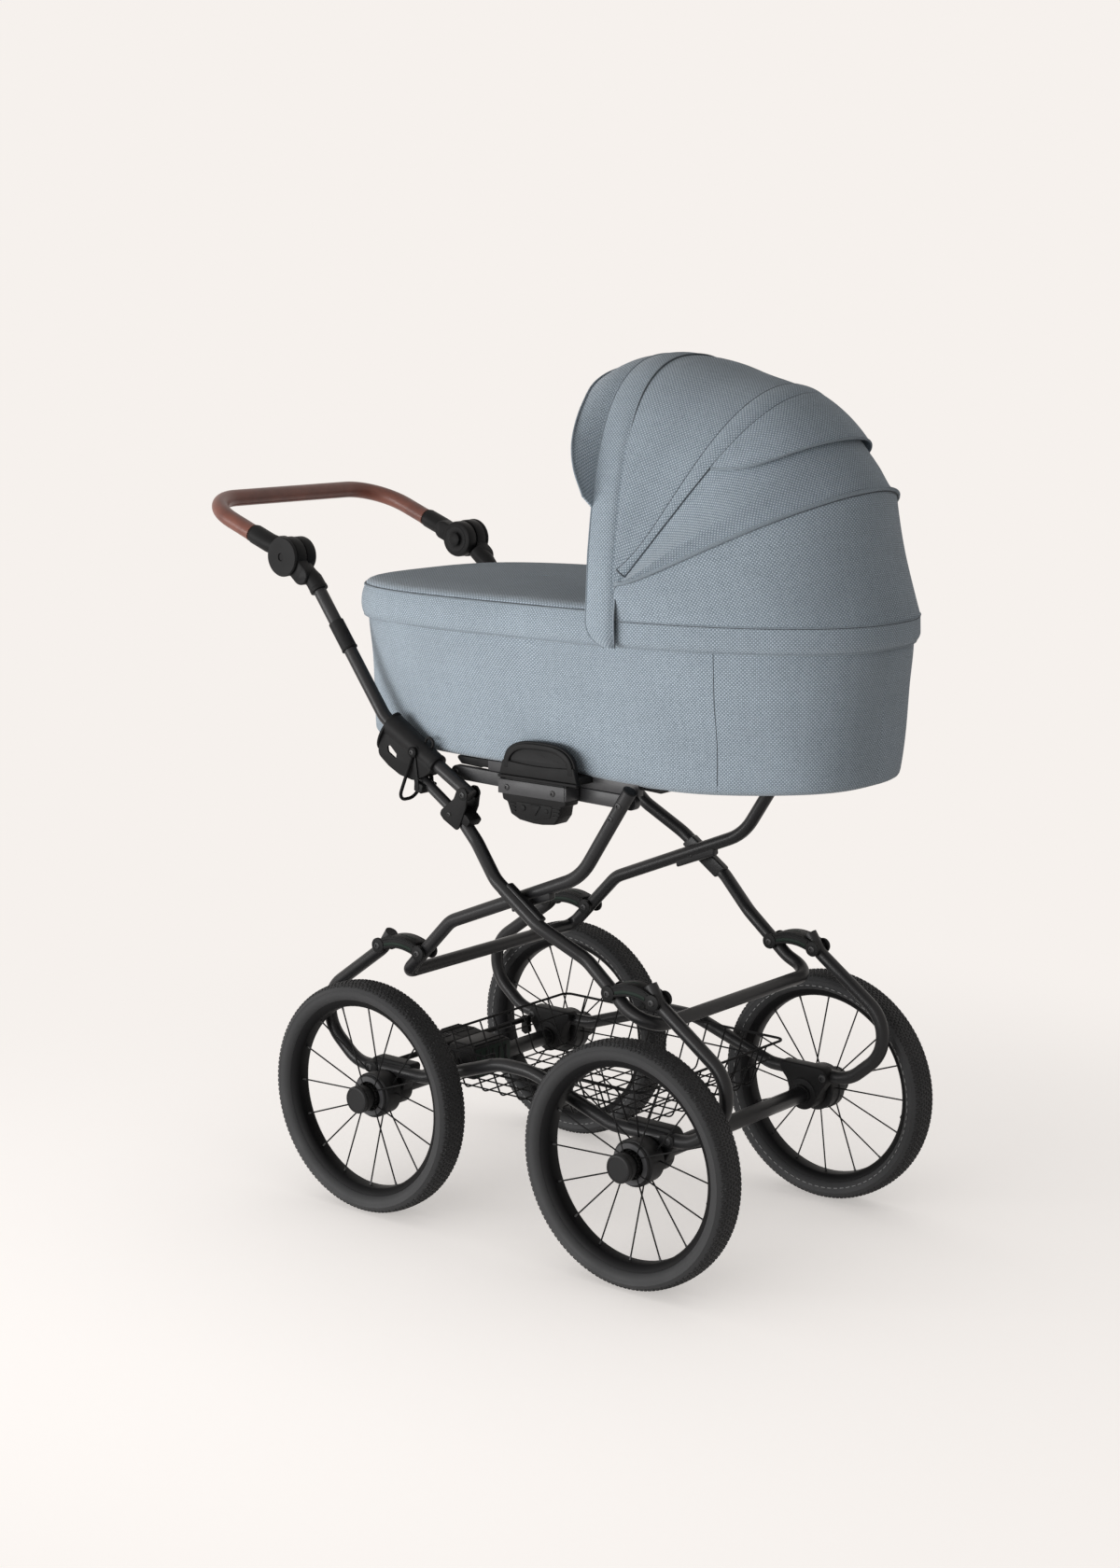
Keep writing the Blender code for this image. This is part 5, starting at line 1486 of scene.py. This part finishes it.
# %% Make the painted shadows of the tub's seams
SEAM_ANGLE = radians(55.2)
for label, angle in (("right", -SEAM_ANGLE), ("left", SEAM_ANGLE), ("foot", pi)):
    lean = copysign(radians(1.1), angle) if label != "foot" else 0.0
    line = [cover_point(angle + lean * (0.92 - z) / 0.2125, z) for z in spread(0.7075, 0.92, 30)]
    seam(f"tub_seam_shadow_{label}", line, 0.0005, "cot", SEAM_SHADOW_CLOTH)
print("tub seams made")

# %% [markdown]
# ## Mattress
# A quilted pad lies on the tub's floor. It is made as padded things are: a slightly small form
# is remeshed evenly, swollen by Blender's cloth simulation with the quilting held in place, and
# the result is applied.

# %% Make the mattress
def swell(piece, voxel, pressure, limit, held, frames=20):
    """Swells a closed form with cloth, with the points for which held(point) holds kept still."""
    remesh = piece.modifiers.new("even", "REMESH")
    remesh.mode = "VOXEL"
    remesh.voxel_size = voxel
    settle(piece)
    before = [vert.co.copy() for vert in piece.data.vertices]
    pins = piece.vertex_groups.new(name="pins")
    pins.add([i for i, point in enumerate(before) if held(point - MIDDLE)], 1.0, "REPLACE")
    cloth = piece.modifiers.new("cloth", "CLOTH")
    cloth.settings.use_pressure = True
    cloth.settings.uniform_pressure_force = pressure
    cloth.settings.vertex_group_mass = "pins"
    cloth.settings.effector_weights.gravity = 0
    cloth.settings.quality = 5
    scene = bpy.context.scene
    for number in range(1, frames + 1):
        scene.frame_set(number)
    settle(piece)
    scene.frame_set(1)
    for vert, old in zip(piece.data.vertices, before):
        move = vert.co - old
        if move.length > limit:
            vert.co = old + move.normalized() * limit


PAD_X, PAD_Z = 0.042, 0.729
QUILT_SPACING = 0.085


def mattress_form():
    edit = bmesh.new()
    rows = mm((717.5, 392, 164), (721.5, 404, 173), (729, 406, 175), (737, 404, 173), (741, 392, 164))
    rings = [[edit.verts.new(oval_point(a, z, PAD_X, x, y, 2.9, 2.55)) for a in TUB_ANGLES[:-1]]
             for z, x, y in rows]
    edit.faces.new(rings[0])
    edit.faces.new(rings[-1])
    edges = [[edit.edges.get(pair) or edit.edges.new(pair) for pair in zip(ring[-1:] + ring, ring)]
             for ring in rings]
    for low, high in zip(edges, edges[1:]):
        bmesh.ops.bridge_loops(edit, edges=low + high)
    return tidy(edit)


def on_quilting(point):
    """Whether a point lies on the pad's diagonal quilting lines or its edge seam."""
    x, height = point.x - PAD_X, abs(point.z - PAD_Z)
    if height < 0.0026 and (abs(point.y) > 0.165 or abs(x) > 0.39):
        return True
    for way in (-1, 1):
        across = (x + way * point.y) / QUILT_SPACING
        if abs(across - round(across)) * QUILT_SPACING < 0.0048:
            return height > 0.006
    return False


mattress = finish_piece("quilted_mattress", "cot", [(mattress_form(), LINING_CLOTH)], "mattress", sharp=180)
swell(mattress, 0.0062, 3.0, 0.005, on_quilting)
fine = mattress.modifiers.new("fine", "SUBSURF")
fine.levels = fine.render_levels = 1
settle(mattress)
mattress.data.materials.clear()
mattress.data.materials.append(LINING_CLOTH)
layer = mattress.data.uv_layers.new(name="metres")
for loop in mattress.data.loops:
    place = mattress.data.vertices[loop.vertex_index].co
    layer.data[loop.index].uv = (place.x, place.y)
mattress.data.shade_smooth()
print("mattress points:", len(mattress.data.vertices))

# %% [markdown]
# ## Foot cover
# The wind cover is a lid with a skirt that drops over the rim of the tub. A thin piping joins
# the two. The lid is stretched flat and crowns only a little; its hood end is cut straight, under
# the hood's front band.

# %% Make the foot cover
APRON_END = 0.193
LID_PROFILE = mm((4.8, 937.5), (5.8, 941), (9.8, 945.2), (19, 948.2), (40, 950), (100, 951.2), (160, 952),
                 (233, 952.5))
apron_turn = acos(((APRON_END - RIM[0]) / RIM[1]) ** (RIM[3] / 2))
SKIRT_ANGLES, skirt_length = even_angles(RIM, 121, apron_turn, 2 * pi - apron_turn)


def rim_point(angle, z, out):
    middle, half_length, half_width, front, rear = RIM
    return oval_point(angle, z, middle, half_length + out, half_width + out, front, rear)


def skirt_point(angle, z):
    low = (SKIRT_TOP - z) / (SKIRT_TOP - SKIRT_LOW)
    wave = 0.0016 * low * noise.noise(Vector((cos(angle) * 3.5, sin(angle) * 3.5, 0.7)))
    return rim_point(angle, z, 0.0004 - 0.0052 * (1 - low) ** 4 - 0.0049 * low ** 6 + wave)


def lid_point(angle, inset):
    height = smooth_value(LID_PROFILE, inset)
    middle, half_length, half_width, front, rear = RIM
    spot = Vector((cos(angle) * inset * 20, sin(angle) * inset * 30, 0.3))
    sink = 0.001 * noise.noise(spot) * min(inset / 0.05, 1)
    return oval_point(angle, height + sink, middle, half_length - inset, half_width - inset, front, rear)


skirt_levels = spread(SKIRT_LOW, SKIRT_TOP, 13)
apron_skirt = cloth_sheet("foot_cover_skirt", "cot", skirt_point, SKIRT_ANGLES, skirt_levels, 0.002, TUB_INSIDE)
stands_for("apron")
LID_ANGLES = even_angles(RIM, 161)[0]
lid_insets = [0.0048, 0.0052, 0.0058, 0.0075, 0.0098, 0.014, 0.019, 0.028, 0.04] + spread(0.055, 0.2325, 14)
apron_lid = cloth_sheet("foot_cover_lid", None, lid_point, LID_ANGLES, lid_insets, 0.0, TUB_INSIDE,
                        closed=True, flat_uv=True)


def cut_at(piece, x):
    """Cuts the hood end off a sheet and gives what stays its thickness."""
    edit = bmesh.new()
    edit.from_mesh(piece.data)
    bmesh.ops.remove_doubles(edit, verts=edit.verts, dist=2e-4)
    bmesh.ops.bisect_plane(
        edit, geom=[*edit.verts, *edit.edges, *edit.faces], dist=1e-6,
        plane_co=(x + MIDDLE.x, 0, 0), plane_no=(1, 0, 0), clear_outer=True,
    )
    edit.to_mesh(piece.data)
    edit.free()
    thicken(piece, 0.002)


cut_at(apron_lid, APRON_END)
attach(apron_lid, "cot")
piping = [rim_point(a, SKIRT_TOP + 0.0006, -0.0044) for a in SKIRT_ANGLES]
seam("foot_cover_piping", piping, 0.0016, "cot")
# A thin dark line just above the piping is its seam's painted shadow.
shadow = [rim_point(a, SKIRT_TOP + 0.0026, -0.005) for a in SKIRT_ANGLES]
seam("foot_cover_piping_shadow", shadow, 0.0007, "cot", SEAM_SHADOW_CLOTH)
hem = [skirt_point(a, SKIRT_LOW + 0.0008) for a in SKIRT_ANGLES]
seam("foot_cover_hem", tucked(hem), 0.0019, "cot")
print("foot cover made, skirt", round(skirt_length, 3), "m long")

# %% [markdown]
# ## Hood
# The hood is a fan of cloth on three bows that turn about one pivot on each side. For each
# angle about the pivots, a table gives the cloth's reach, its half width and how square its arch
# is, and a smooth curve is drawn through the table. The rear panel stays on the tub, the middle
# panel stretches to the middle bow and the front panel from there to the front bow.

# %% Set out the hood
HOOD_PIVOT = Vector((0.203, 0, 0.967))
REAR_BOW, MIDDLE_BOW, FRONT_BOW = 27.2, 59.3, 97.1
# Angle, reach, half width, squareness, and how far the sides are drawn in by the cloth's pull
HOOD_TABLE = [
    (27.2, 0.302, 0.234, 1.88, -0.0126), (30.6, 0.2975, 0.2338, 1.88, -0.008),
    (40.0, 0.2985, 0.2333, 1.88, 0.006), (46.0, 0.301, 0.233, 1.88, 0.015),
    (59.3, 0.305, 0.2326, 1.88, 0.0285), (68.0, 0.3005, 0.2328, 1.93, 0.0265),
    (77.0, 0.2995, 0.2332, 1.98, 0.024), (86.0, 0.305, 0.2335, 2.04, 0.0215),
    (97.1, 0.3145, 0.2339, 2.11, 0.0188),
]
HOOD_INSIDE = Vector((0.22, 0, 1.02))


def hood_point(angle, t, out=0.0, start=0.6):
    """A point on the hood's cloth, at an angle about the pivots and t of the way across, from the left."""
    reach, half_width, power, pull = row_at(HOOD_TABLE, angle)
    turn = radians(start + (180 - 2 * start) * t)
    c, s = cos(turn), sin(turn)
    length = (reach + out) * abs(s) ** (2 / power)
    y = (half_width + out) * copysign(abs(c) ** (2 / power), c)
    y -= copysign(pull * sin(pi * min(length / reach, 1) ** 0.88), c) if abs(c) > 1e-6 else 0
    tilt = radians(angle)
    return HOOD_PIVOT + Vector((cos(tilt) * length, y, sin(tilt) * length))


def rear_rise(length):
    """How far the rear bow's cloth is drawn up under the band, at a distance from the pivots."""
    return 0.0128 * exp(-length / 0.024)


def rear_bow_point(t, out=0.0, turn=0.0):
    """A point on the cloth over the rear bow, or a few degrees from it."""
    point = hood_point(REAR_BOW + turn, t, out)
    point.z += rear_rise(hypot(point.x - HOOD_PIVOT.x, point.z - HOOD_PIVOT.z))
    return point


def crease(angle, t, size=0.0012):
    """Soft, slow creases that fan out from the pivots."""
    return size * noise.noise(Vector((angle * 0.06, t * 5.0, 3.1)))


def base_point(t, z, inset=0.0):
    """A point on the rim round the hood end, from the left at t = 0 to the right at 1."""
    middle, half_length, half_width, power, _ = RIM
    edge = acos(((HOOD_PIVOT.x + 0.001 - middle) / half_length) ** (power / 2))
    angle = edge * (1 - 2 * t)
    c, s = cos(angle), sin(angle)
    y = copysign(abs(s) ** (2 / power), s) * (half_width - inset)
    return Vector((middle + (half_length - inset) * c ** (2 / power), y, z))


HOOD_BASE = 0.929
ACROSS = spread(0.0, 1.0, 97)
print("hood reaches", [round(hood_point(a, 0.5).z, 4) for a in (REAR_BOW, MIDDLE_BOW, FRONT_BOW)],
      "m high at its bows")

# %% Make the rear panel and its skirt
def rear_panel_point(t, share):
    """From the base seam up to the rear bow, with the slight belly of the taut cloth."""
    low, high = base_point(t, HOOD_BASE), rear_bow_point(t)
    belly = (0.003 - 0.0105 * sin(pi * t) ** 4) * sin(pi * share) * sin(pi * t) ** 0.5
    line = low.lerp(high, share)
    outward = Vector((line.x - 0.16, line.y * 1.2, 0.1)).normalized()
    return line + outward * (belly + crease(share * 30, t, 0.001) * sin(pi * share))


def rear_skirt_point(t, z):
    low = (HOOD_BASE - z) / (HOOD_BASE - SKIRT_LOW)
    wave = 0.0014 * low * noise.noise(Vector((t * 7.0, 5.5, 0.7)))
    tuck = 0.0065 * max((0.905 - z) / 0.012, 0) ** 2
    return base_point(t, z, tuck - 0.0015 * low - wave)


rear_panel = cloth_sheet("hood_rear_panel_cloth", "cot", rear_panel_point, ACROSS, spread(0, 1, 25), WALL,
                         HOOD_INSIDE)
stands_for("hood_rear_panel")
skirt_levels = spread(SKIRT_LOW, HOOD_BASE, 11)
rear_skirt = cloth_sheet("hood_rear_skirt", "cot", rear_skirt_point, ACROSS, skirt_levels, 0.002, TUB_INSIDE)
base_line = [rear_panel_point(t, 0.0) for t in spread(0.004, 0.996, 90)]
seam("hood_base_fold", [p + Vector((0, 0, 0.0004)) for p in base_line], 0.001, "cot")
# The dark line just under the base fold is the seam's painted shadow.
seam("hood_base_seam_shadow", [p - Vector((0, 0, 0.0013)) for p in base_line], 0.0005, "cot", SEAM_SHADOW_CLOTH)
hem_line = [rear_skirt_point(t, SKIRT_LOW + 0.0008) for t in spread(0.004, 0.996, 90)]
seam("hood_skirt_hem", tucked(hem_line), 0.0019, "cot")
print("rear panel faces:", len(rear_panel.data.polygons))

# %% Make the rear bow and its piping
def make_bow(name, body, angle, out, end, node=None):
    """A rod under the cloth, at an angle about the pivots."""
    line = [hood_point(angle, t, out, 3.0) for t in spread(end, 1 - end, 80)]
    finish_piece(name, body, [(tube(smooth_line(line, 90), 0.0034, 12), PLASTIC)], node)


make_bow("hood_rear_bow", "cot", REAR_BOW, -0.0062, 0.006)
rear_line = spread(0.004, 0.996, 120)
seam("hood_rear_piping", [rear_bow_point(t, 0.002) for t in rear_line], 0.0028, "cot")
# Thin dark lines under and over the piping are painted shadows of its seams.
seam("hood_rear_lower_seam_shadow", [rear_bow_point(t, 0.0004, -0.6) for t in rear_line], 0.0009, "cot", SEAM_SHADOW_CLOTH)
seam("hood_rear_upper_seam_shadow", [rear_bow_point(t, 0.0002, 0.62) for t in rear_line], 0.0006, "cot", SEAM_SHADOW_CLOTH)
pivot_caps = [disc(HOOD_PIVOT.xz, s * 0.213, s * 0.22, 0.013, 32, 0.0014) for s in SIDES.values()]
finish_piece("hood_pivot_discs", "cot", [(pivot_caps, PLASTIC)])
print("rear bow made")

# %% [markdown]
# The middle panel spans the gap between the rear bow, which stays put, and the middle bow,
# which folds back. A vent flap is sewn along the middle bow and hangs free over the panel; its
# lower edge is cut in a curve, higher at the sides.

# %% Make the middle panel and the vent flap
SAG = [(27.2, 0.0), (36.0, -0.003), (44.0, -0.0042), (52.0, -0.0034), (59.3, 0.0)]


def middle_panel_point(t, share):
    """share runs from the rear bow, at 0, up to the middle bow, at 1."""
    angle = REAR_BOW + (MIDDLE_BOW - REAR_BOW) * share
    dip = smooth_value(SAG, angle) * sin(pi * t)
    point = hood_point(angle, t, dip + crease(angle, t) * min(share * 6, (1 - share) * 6, 1))
    point.z += rear_rise(hypot(point.x - HOOD_PIVOT.x, point.z - HOOD_PIVOT.z)) * (1 - share)
    return point


def fold_with(piece, body, low, high, first, last):
    """Bakes a sheet's place into its points, and works out each point's share of the turn from low to high
    about the pivots.
    """
    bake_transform(piece)
    for vert in piece.data.vertices:
        place = vert.co - MIDDLE - HOOD_PIVOT
        share = 0.0
        for turn in range(4):
            rise = rear_rise(hypot(place.x, place.z)) * (1 - share) if low == REAR_BOW else 0.0
            length = hypot(place.x, place.z - rise)
            angle = degrees(atan2(place.z - rise, place.x)) if length > 0.004 else low
            share = min(max((angle - low) / (high - low), 0), 1)


TO_MIDDLE = ("hood_middle", REAR_BOW, MIDDLE_BOW, 0.0, 1.0)
middle_panel = cloth_sheet("hood_middle_panel_cloth", None, middle_panel_point, ACROSS, spread(0, 1, 31), WALL,
                           HOOD_INSIDE)
fold_with(middle_panel, *TO_MIDDLE)
stands_for("hood_middle_panel")

# The free edge of the flap, as (angle, t), from its right end up to the middle
FLAP_EDGE = [
    (58.6, 0.775), (56.6, 0.77), (54.0, 0.76), (51.0, 0.745), (48.6, 0.727), (46.8, 0.708),
    (45.2, 0.68), (44.1, 0.645), (43.2, 0.6), (42.5, 0.55), (42.2, 0.5),
]


FLAP_SIDE = 0.7749


def flap_edge_angle(t):
    """The angle at which the flap ends, t of the way across."""
    return smooth_value([(at, angle) for angle, at in FLAP_EDGE], min(max(t, 1 - t), 0.775))


def flap_point(u, v, out=0.0024):
    """u runs from one end of the flap to the other, v from the free edge up to the bow."""
    t = 1 - FLAP_SIDE + (2 * FLAP_SIDE - 1) * u
    edge = flap_edge_angle(t)
    angle = edge + (MIDDLE_BOW - 0.2 - edge) * v
    lift = 0.003 * (1 - v) ** 2 * sin(pi * u)
    swell_out = 0.0016 * sin(pi * v) * sin(pi * u)
    return hood_point(angle, t, out + lift + swell_out + crease(angle + 60, t, 0.001) * (1 - v))


flap = cloth_sheet("hood_vent_flap", None, flap_point, spread(0, 1, 91), spread(0, 1, 19), WALL, HOOD_INSIDE)
fold_with(flap, *TO_MIDDLE)
hem_points = smooth_line([flap_point(u, 0.0, 0.0022) for u in spread(0.0, 1.0, 80)], 120)
flap_hem = finish_piece("hood_flap_hem", None, [(tube(hem_points, 0.0018, 10), COVER_CLOTH)], sharp=180)
fold_with(flap_hem, *TO_MIDDLE)
print("middle panel and flap made")

# %% [markdown]
# The middle bow runs in a pocket: a strip of cloth sewn over the joint between the middle and
# the front panel. It is widest over the top and closes to a rounded end near the pivots.

# %% Make the middle bow and its pocket
def pocket_turn(length):
    """How many degrees the pocket spans, at a distance from the pivots."""
    return 6.3 + 14.0 * exp((0.034 - length) / 0.018)


def pocket_point(t, v):
    """v runs across the pocket, from the middle bow's seam towards the front."""
    line = hood_point(MIDDLE_BOW, t, 0.0, 3.0) - HOOD_PIVOT
    puff = 0.0022 * sin(pi * v) ** 0.7 + 0.0008
    return hood_point(MIDDLE_BOW + pocket_turn(hypot(line.x, line.z)) * v, t, puff, 3.0)


POCKET_ENDS = (0.014, 0.986)
pocket = cloth_sheet("hood_bow_pocket", "hood_middle", pocket_point, spread(*POCKET_ENDS, 121),
                     spread(0, 1, 13), 0.0016, HOOD_INSIDE)
make_bow("hood_middle_bow_rod", "hood_middle", MIDDLE_BOW, -0.008, 0.004, "hood_middle_bow")
pocket_low = [pocket_point(t, 0.0) for t in spread(*POCKET_ENDS, 90)]
pocket_top = [pocket_point(t, 1.0) for t in spread(*POCKET_ENDS, 90)]
# The pocket's thin dark lines, along its edges and across its ends, are painted seam shadows.
seam("hood_pocket_lower_seam_shadow", pocket_low, 0.001, "hood_middle", SEAM_SHADOW_CLOTH)
for label, t in zip(("left", "right"), POCKET_ENDS):
    seam(f"hood_pocket_end_shadow_{label}", [pocket_point(t, v) for v in spread(0.0, 1.0, 12)], 0.001, "hood_middle",
         SEAM_SHADOW_CLOTH)
seam("hood_pocket_upper_seam_shadow", pocket_top, 0.0006, "hood_middle", SEAM_SHADOW_CLOTH)
print("middle bow made")

# %% Make the front panel
# How far the middle bow turns, as a share of the front bow's turn
MIDDLE_SHARE = 0.4516
FRONT_SAG = [(59.3, 0.0), (68.0, -0.001), (78.0, -0.0018), (88.0, -0.001), (97.1, 0.0)]


def front_panel_point(t, angle):
    dip = smooth_value(FRONT_SAG, angle) * sin(pi * t)
    near_bow = min((angle - MIDDLE_BOW) / 5, (FRONT_BOW - angle) / 5, 1)
    return hood_point(angle, t, dip + crease(angle, t, 0.0014) * near_bow)


front_panel = cloth_sheet("hood_front_panel_cloth", None, front_panel_point, ACROSS,
                          spread(MIDDLE_BOW, FRONT_BOW, 31), WALL, HOOD_INSIDE)
fold_with(front_panel, "hood_front", MIDDLE_BOW, FRONT_BOW, MIDDLE_SHARE, 1.0)
stands_for("hood_front_panel")
print("front panel faces:", len(front_panel.data.polygons))

# %% [markdown]
# ## Front band and sun visor
# The front bow is wrapped in a wide band that runs down over the rim at both sides. The sun
# visor is sewn into its front edge and stands a little forward and down.

# %% Make the front band
BAND_WIDTH = 0.0445


def band_line(out):
    """Points along the front bow from under the left rim, over the hood, to under the right rim."""
    y = 0.2385 + out
    left = [(0.207, y - 0.001, SKIRT_LOW), (0.2065, y - 0.0004, 0.912), (0.2055, y - 0.0012, 0.935),
            (0.2048, y - 0.0045, 0.956)]
    over = [hood_point(FRONT_BOW, t, out, 3.0) for t in spread(0.024, 0.976, 61)]
    right = [(x, -y, z) for x, y, z in reversed(left)]
    return smooth_line(left + over + right, 161)


BAND_LINE = band_line(0.0016)


def band_point(u, v):
    """u runs along the band, v from its rear edge to its front edge."""
    place = BAND_LINE[round(u * 160)]
    foot = min(max((0.926 - place.z) / 0.0345, 0.0), 0.97)
    width = BAND_WIDTH * sqrt(1 - foot ** 2)
    side = copysign(min(abs(place.y) / 0.2, 1) ** 3, place.y)
    bulge = 0.0026 * sin(pi * v)
    tuck = 0.0054 * exp(-v / 0.1)
    return place + Vector((-width * v, side * (bulge - tuck), bulge * (1 - abs(side))))


def band_lining_point(u, v):
    point = band_point(u, v)
    return point - (point - Vector((0.18, 0, 0.98))).normalized() * 0.0048


band_u = spread(0.0, 1.0, 161)
band = cloth_sheet("hood_front_band_cloth", "hood_front", band_point, band_u, spread(0, 1, 11), WALL,
                   HOOD_INSIDE)
stands_for("hood_front_band")
band_inner = cloth_sheet("hood_front_band_lining", "hood_front", band_lining_point, band_u,
                         spread(0.02, 0.98, 7), -0.0012, HOOD_INSIDE, LINING_CLOTH)
rear_edge, front_edge = [[band_point(u, v) for u in band_u] for v in (0.0, 1.0)]
seam("band_rear_fold", rear_edge, 0.0012, "hood_front")
# The dark line just behind the band's rear fold is painted shadow.
seam("band_rear_seam_shadow", [p + Vector((0.0012, 0, -0.0004)) for p in rear_edge], 0.0008, "hood_front", SEAM_SHADOW_CLOTH)
seam("band_front_fold", front_edge, 0.0012, "hood_front")
make_bow("hood_front_bow_rod", "hood_front", FRONT_BOW + 2.0, -0.008, 0.004)
print("front band made")

# %% Make the sun visor
# The visor's free edge, as x, half width and z from the top down
VISOR_EDGE = mm((64, 0, 1264), (66, 60, 1257), (74, 111.5, 1241), (85, 148.5, 1217), (99, 183, 1189),
                (113, 208.5, 1160), (127, 221.5, 1129), (143, 222.5, 1094))


VISOR_END = 1.076
visor_root = smooth_line([p for p in [band_point(u, 0.97) for u in band_u] if p.z > VISOR_END], 121)
visor_free = smooth_line(VISOR_EDGE[:0:-1] + [(x, -y, z) for x, y, z in VISOR_EDGE], 121)


def visor_point(u, v):
    """u runs along the band, v from the band out to the free edge."""
    i = round(u * 120)
    place = visor_root[i].lerp(visor_free[i], v)
    outward = (place - Vector((0.14, 0, 1.03))).normalized()
    puff = 0.005 * sin(pi * min(v * 1.02, 1)) * sin(pi * u) ** 0.5
    return place + outward * (puff - 0.0012)


visor = cloth_sheet("sun_visor_cloth", "hood_front", visor_point, spread(0, 1, 121), spread(0, 1, 15), 0.0024,
                    (0.15, 0, 1.0))
stands_for("sun_visor")
seam("sun_visor_edge", visor_free, 0.0014, "hood_front")
print("sun visor made")

# %% [markdown]


# %% [markdown]
# ## Floor, light and background
# The pale background is the world's own colour, seen only by camera, mirror and glass rays. The
# floor is lit by the lamps and takes the pram's shadow; round the pram it fades into the
# background colour, so no horizon shows. Those rays also see the floor glow, and ambient
# occlusion darkens that glow near the pram as a painted shadow. One large lamp stands low at the
# left of the camera, and the world fills the shadows.

# %% Make the floor
BACKGROUND = (0.922, 0.88, 0.847, 1)
floor_edit = bmesh.new()
bmesh.ops.create_grid(floor_edit, x_segments=1, y_segments=1, size=40)
floor_mesh = mesh_of(floor_edit, "floor")
floor = new_object("floor", floor_mesh)


def seen_rays(tree):
    """1 for a ray from the camera, a mirror or a glass, 0 for light that falls on things."""
    ray = add_node(tree, "LightPath").outputs
    seen = maths(tree, "MAXIMUM", ray["Is Camera Ray"], ray["Is Glossy Ray"])
    return maths(tree, "MAXIMUM", seen, ray["Is Transmission Ray"])


def make_floor_finish():
    material, tree, shader = new_material("pale_floor", 0.9, specular=0.0)
    shader.inputs["Base Color"].default_value = (0.86, 0.83, 0.81, 1)
    place = add_node(tree, "TexCoord").outputs["Object"]
    centre = result_of(tree, "Mapping", {"Vector": place, "Location": (-MIDDLE.x, 0, 0)})
    reach = add_node(tree, "VectorMath", {0: centre}, operation="LENGTH").outputs["Value"]
    fade = remap(tree, reach, 0.75, 1.75, interpolation_type="SMOOTHSTEP")
    seen = seen_rays(tree)
    glow = result_of(tree, "Emission", {"Color": BACKGROUND, "Strength": 1.0})
    # Ambient occlusion dims the floor's glow near the pram: painted shadow.
    painted_shadow_occlusion = add_node(tree, "AmbientOcclusion", {"Distance": 0.6}, samples=8).outputs["AO"]
    strength = maths(tree, "MULTIPLY", seen, remap(tree, painted_shadow_occlusion, 0.35, 1.0, 0.66, 1.0))
    lit = result_of(tree, "Emission", {"Color": (0.565, 0.541, 0.521, 1), "Strength": strength})
    shaded = result_of(tree, "AddShader", {0: shader.outputs[0], 1: lit})
    mixed = result_of(tree, "MixShader", {0: maths(tree, "MULTIPLY", fade, seen), 1: shaded, 2: glow})
    tree.links.new(mixed, tree.nodes["Material Output"].inputs["Surface"])
    return material


floor_mesh.materials.append(make_floor_finish())
print("floor made")

# %% Make the world
world = bpy.data.worlds.new("studio")
bpy.context.scene.world = world
world.use_nodes = True
sky = world.node_tree
sky.nodes.clear()
plain = result_of(sky, "Background", {"Color": BACKGROUND, "Strength": 1.0})
height = add_node(sky, "SeparateXYZ", {0: add_node(sky, "TexCoord").outputs["Generated"]}).outputs["Z"]
strength = remap(sky, height, 0.0, 0.8, 0.44, 0.25)
fill = result_of(sky, "Background", {"Color": (1.0, 0.985, 0.97, 1), "Strength": strength})
both = result_of(sky, "MixShader", {0: seen_rays(sky), 1: fill, 2: plain})
sky.links.new(both, add_node(sky, "OutputWorld").inputs["Surface"])
print("world made")

# %% Make the lamp
KEY_WAY, KEY_DISTANCE = Vector((-0.3, -0.95, 0.03)).normalized(), 4.2
lamp_data = bpy.data.lights.new("key_lamp", "AREA")
lamp_data.shape = "RECTANGLE"
lamp_data.size, lamp_data.size_y = 5.0, 1.2
lamp_data.energy = 160
lamp = new_object("key_lamp", lamp_data)
lamp.location = MIDDLE + Vector((0, 0, 0.65)) + KEY_WAY * KEY_DISTANCE
lamp.rotation_euler = (-KEY_WAY).to_track_quat("-Z", "Y").to_euler()
print("lamps:", [light.name for light in bpy.data.lights])

# %% [markdown]
# ## Finish
# The picture uses the Standard view transform.

# %% Set the view transform
bpy.context.scene.view_settings.view_transform = "Standard"
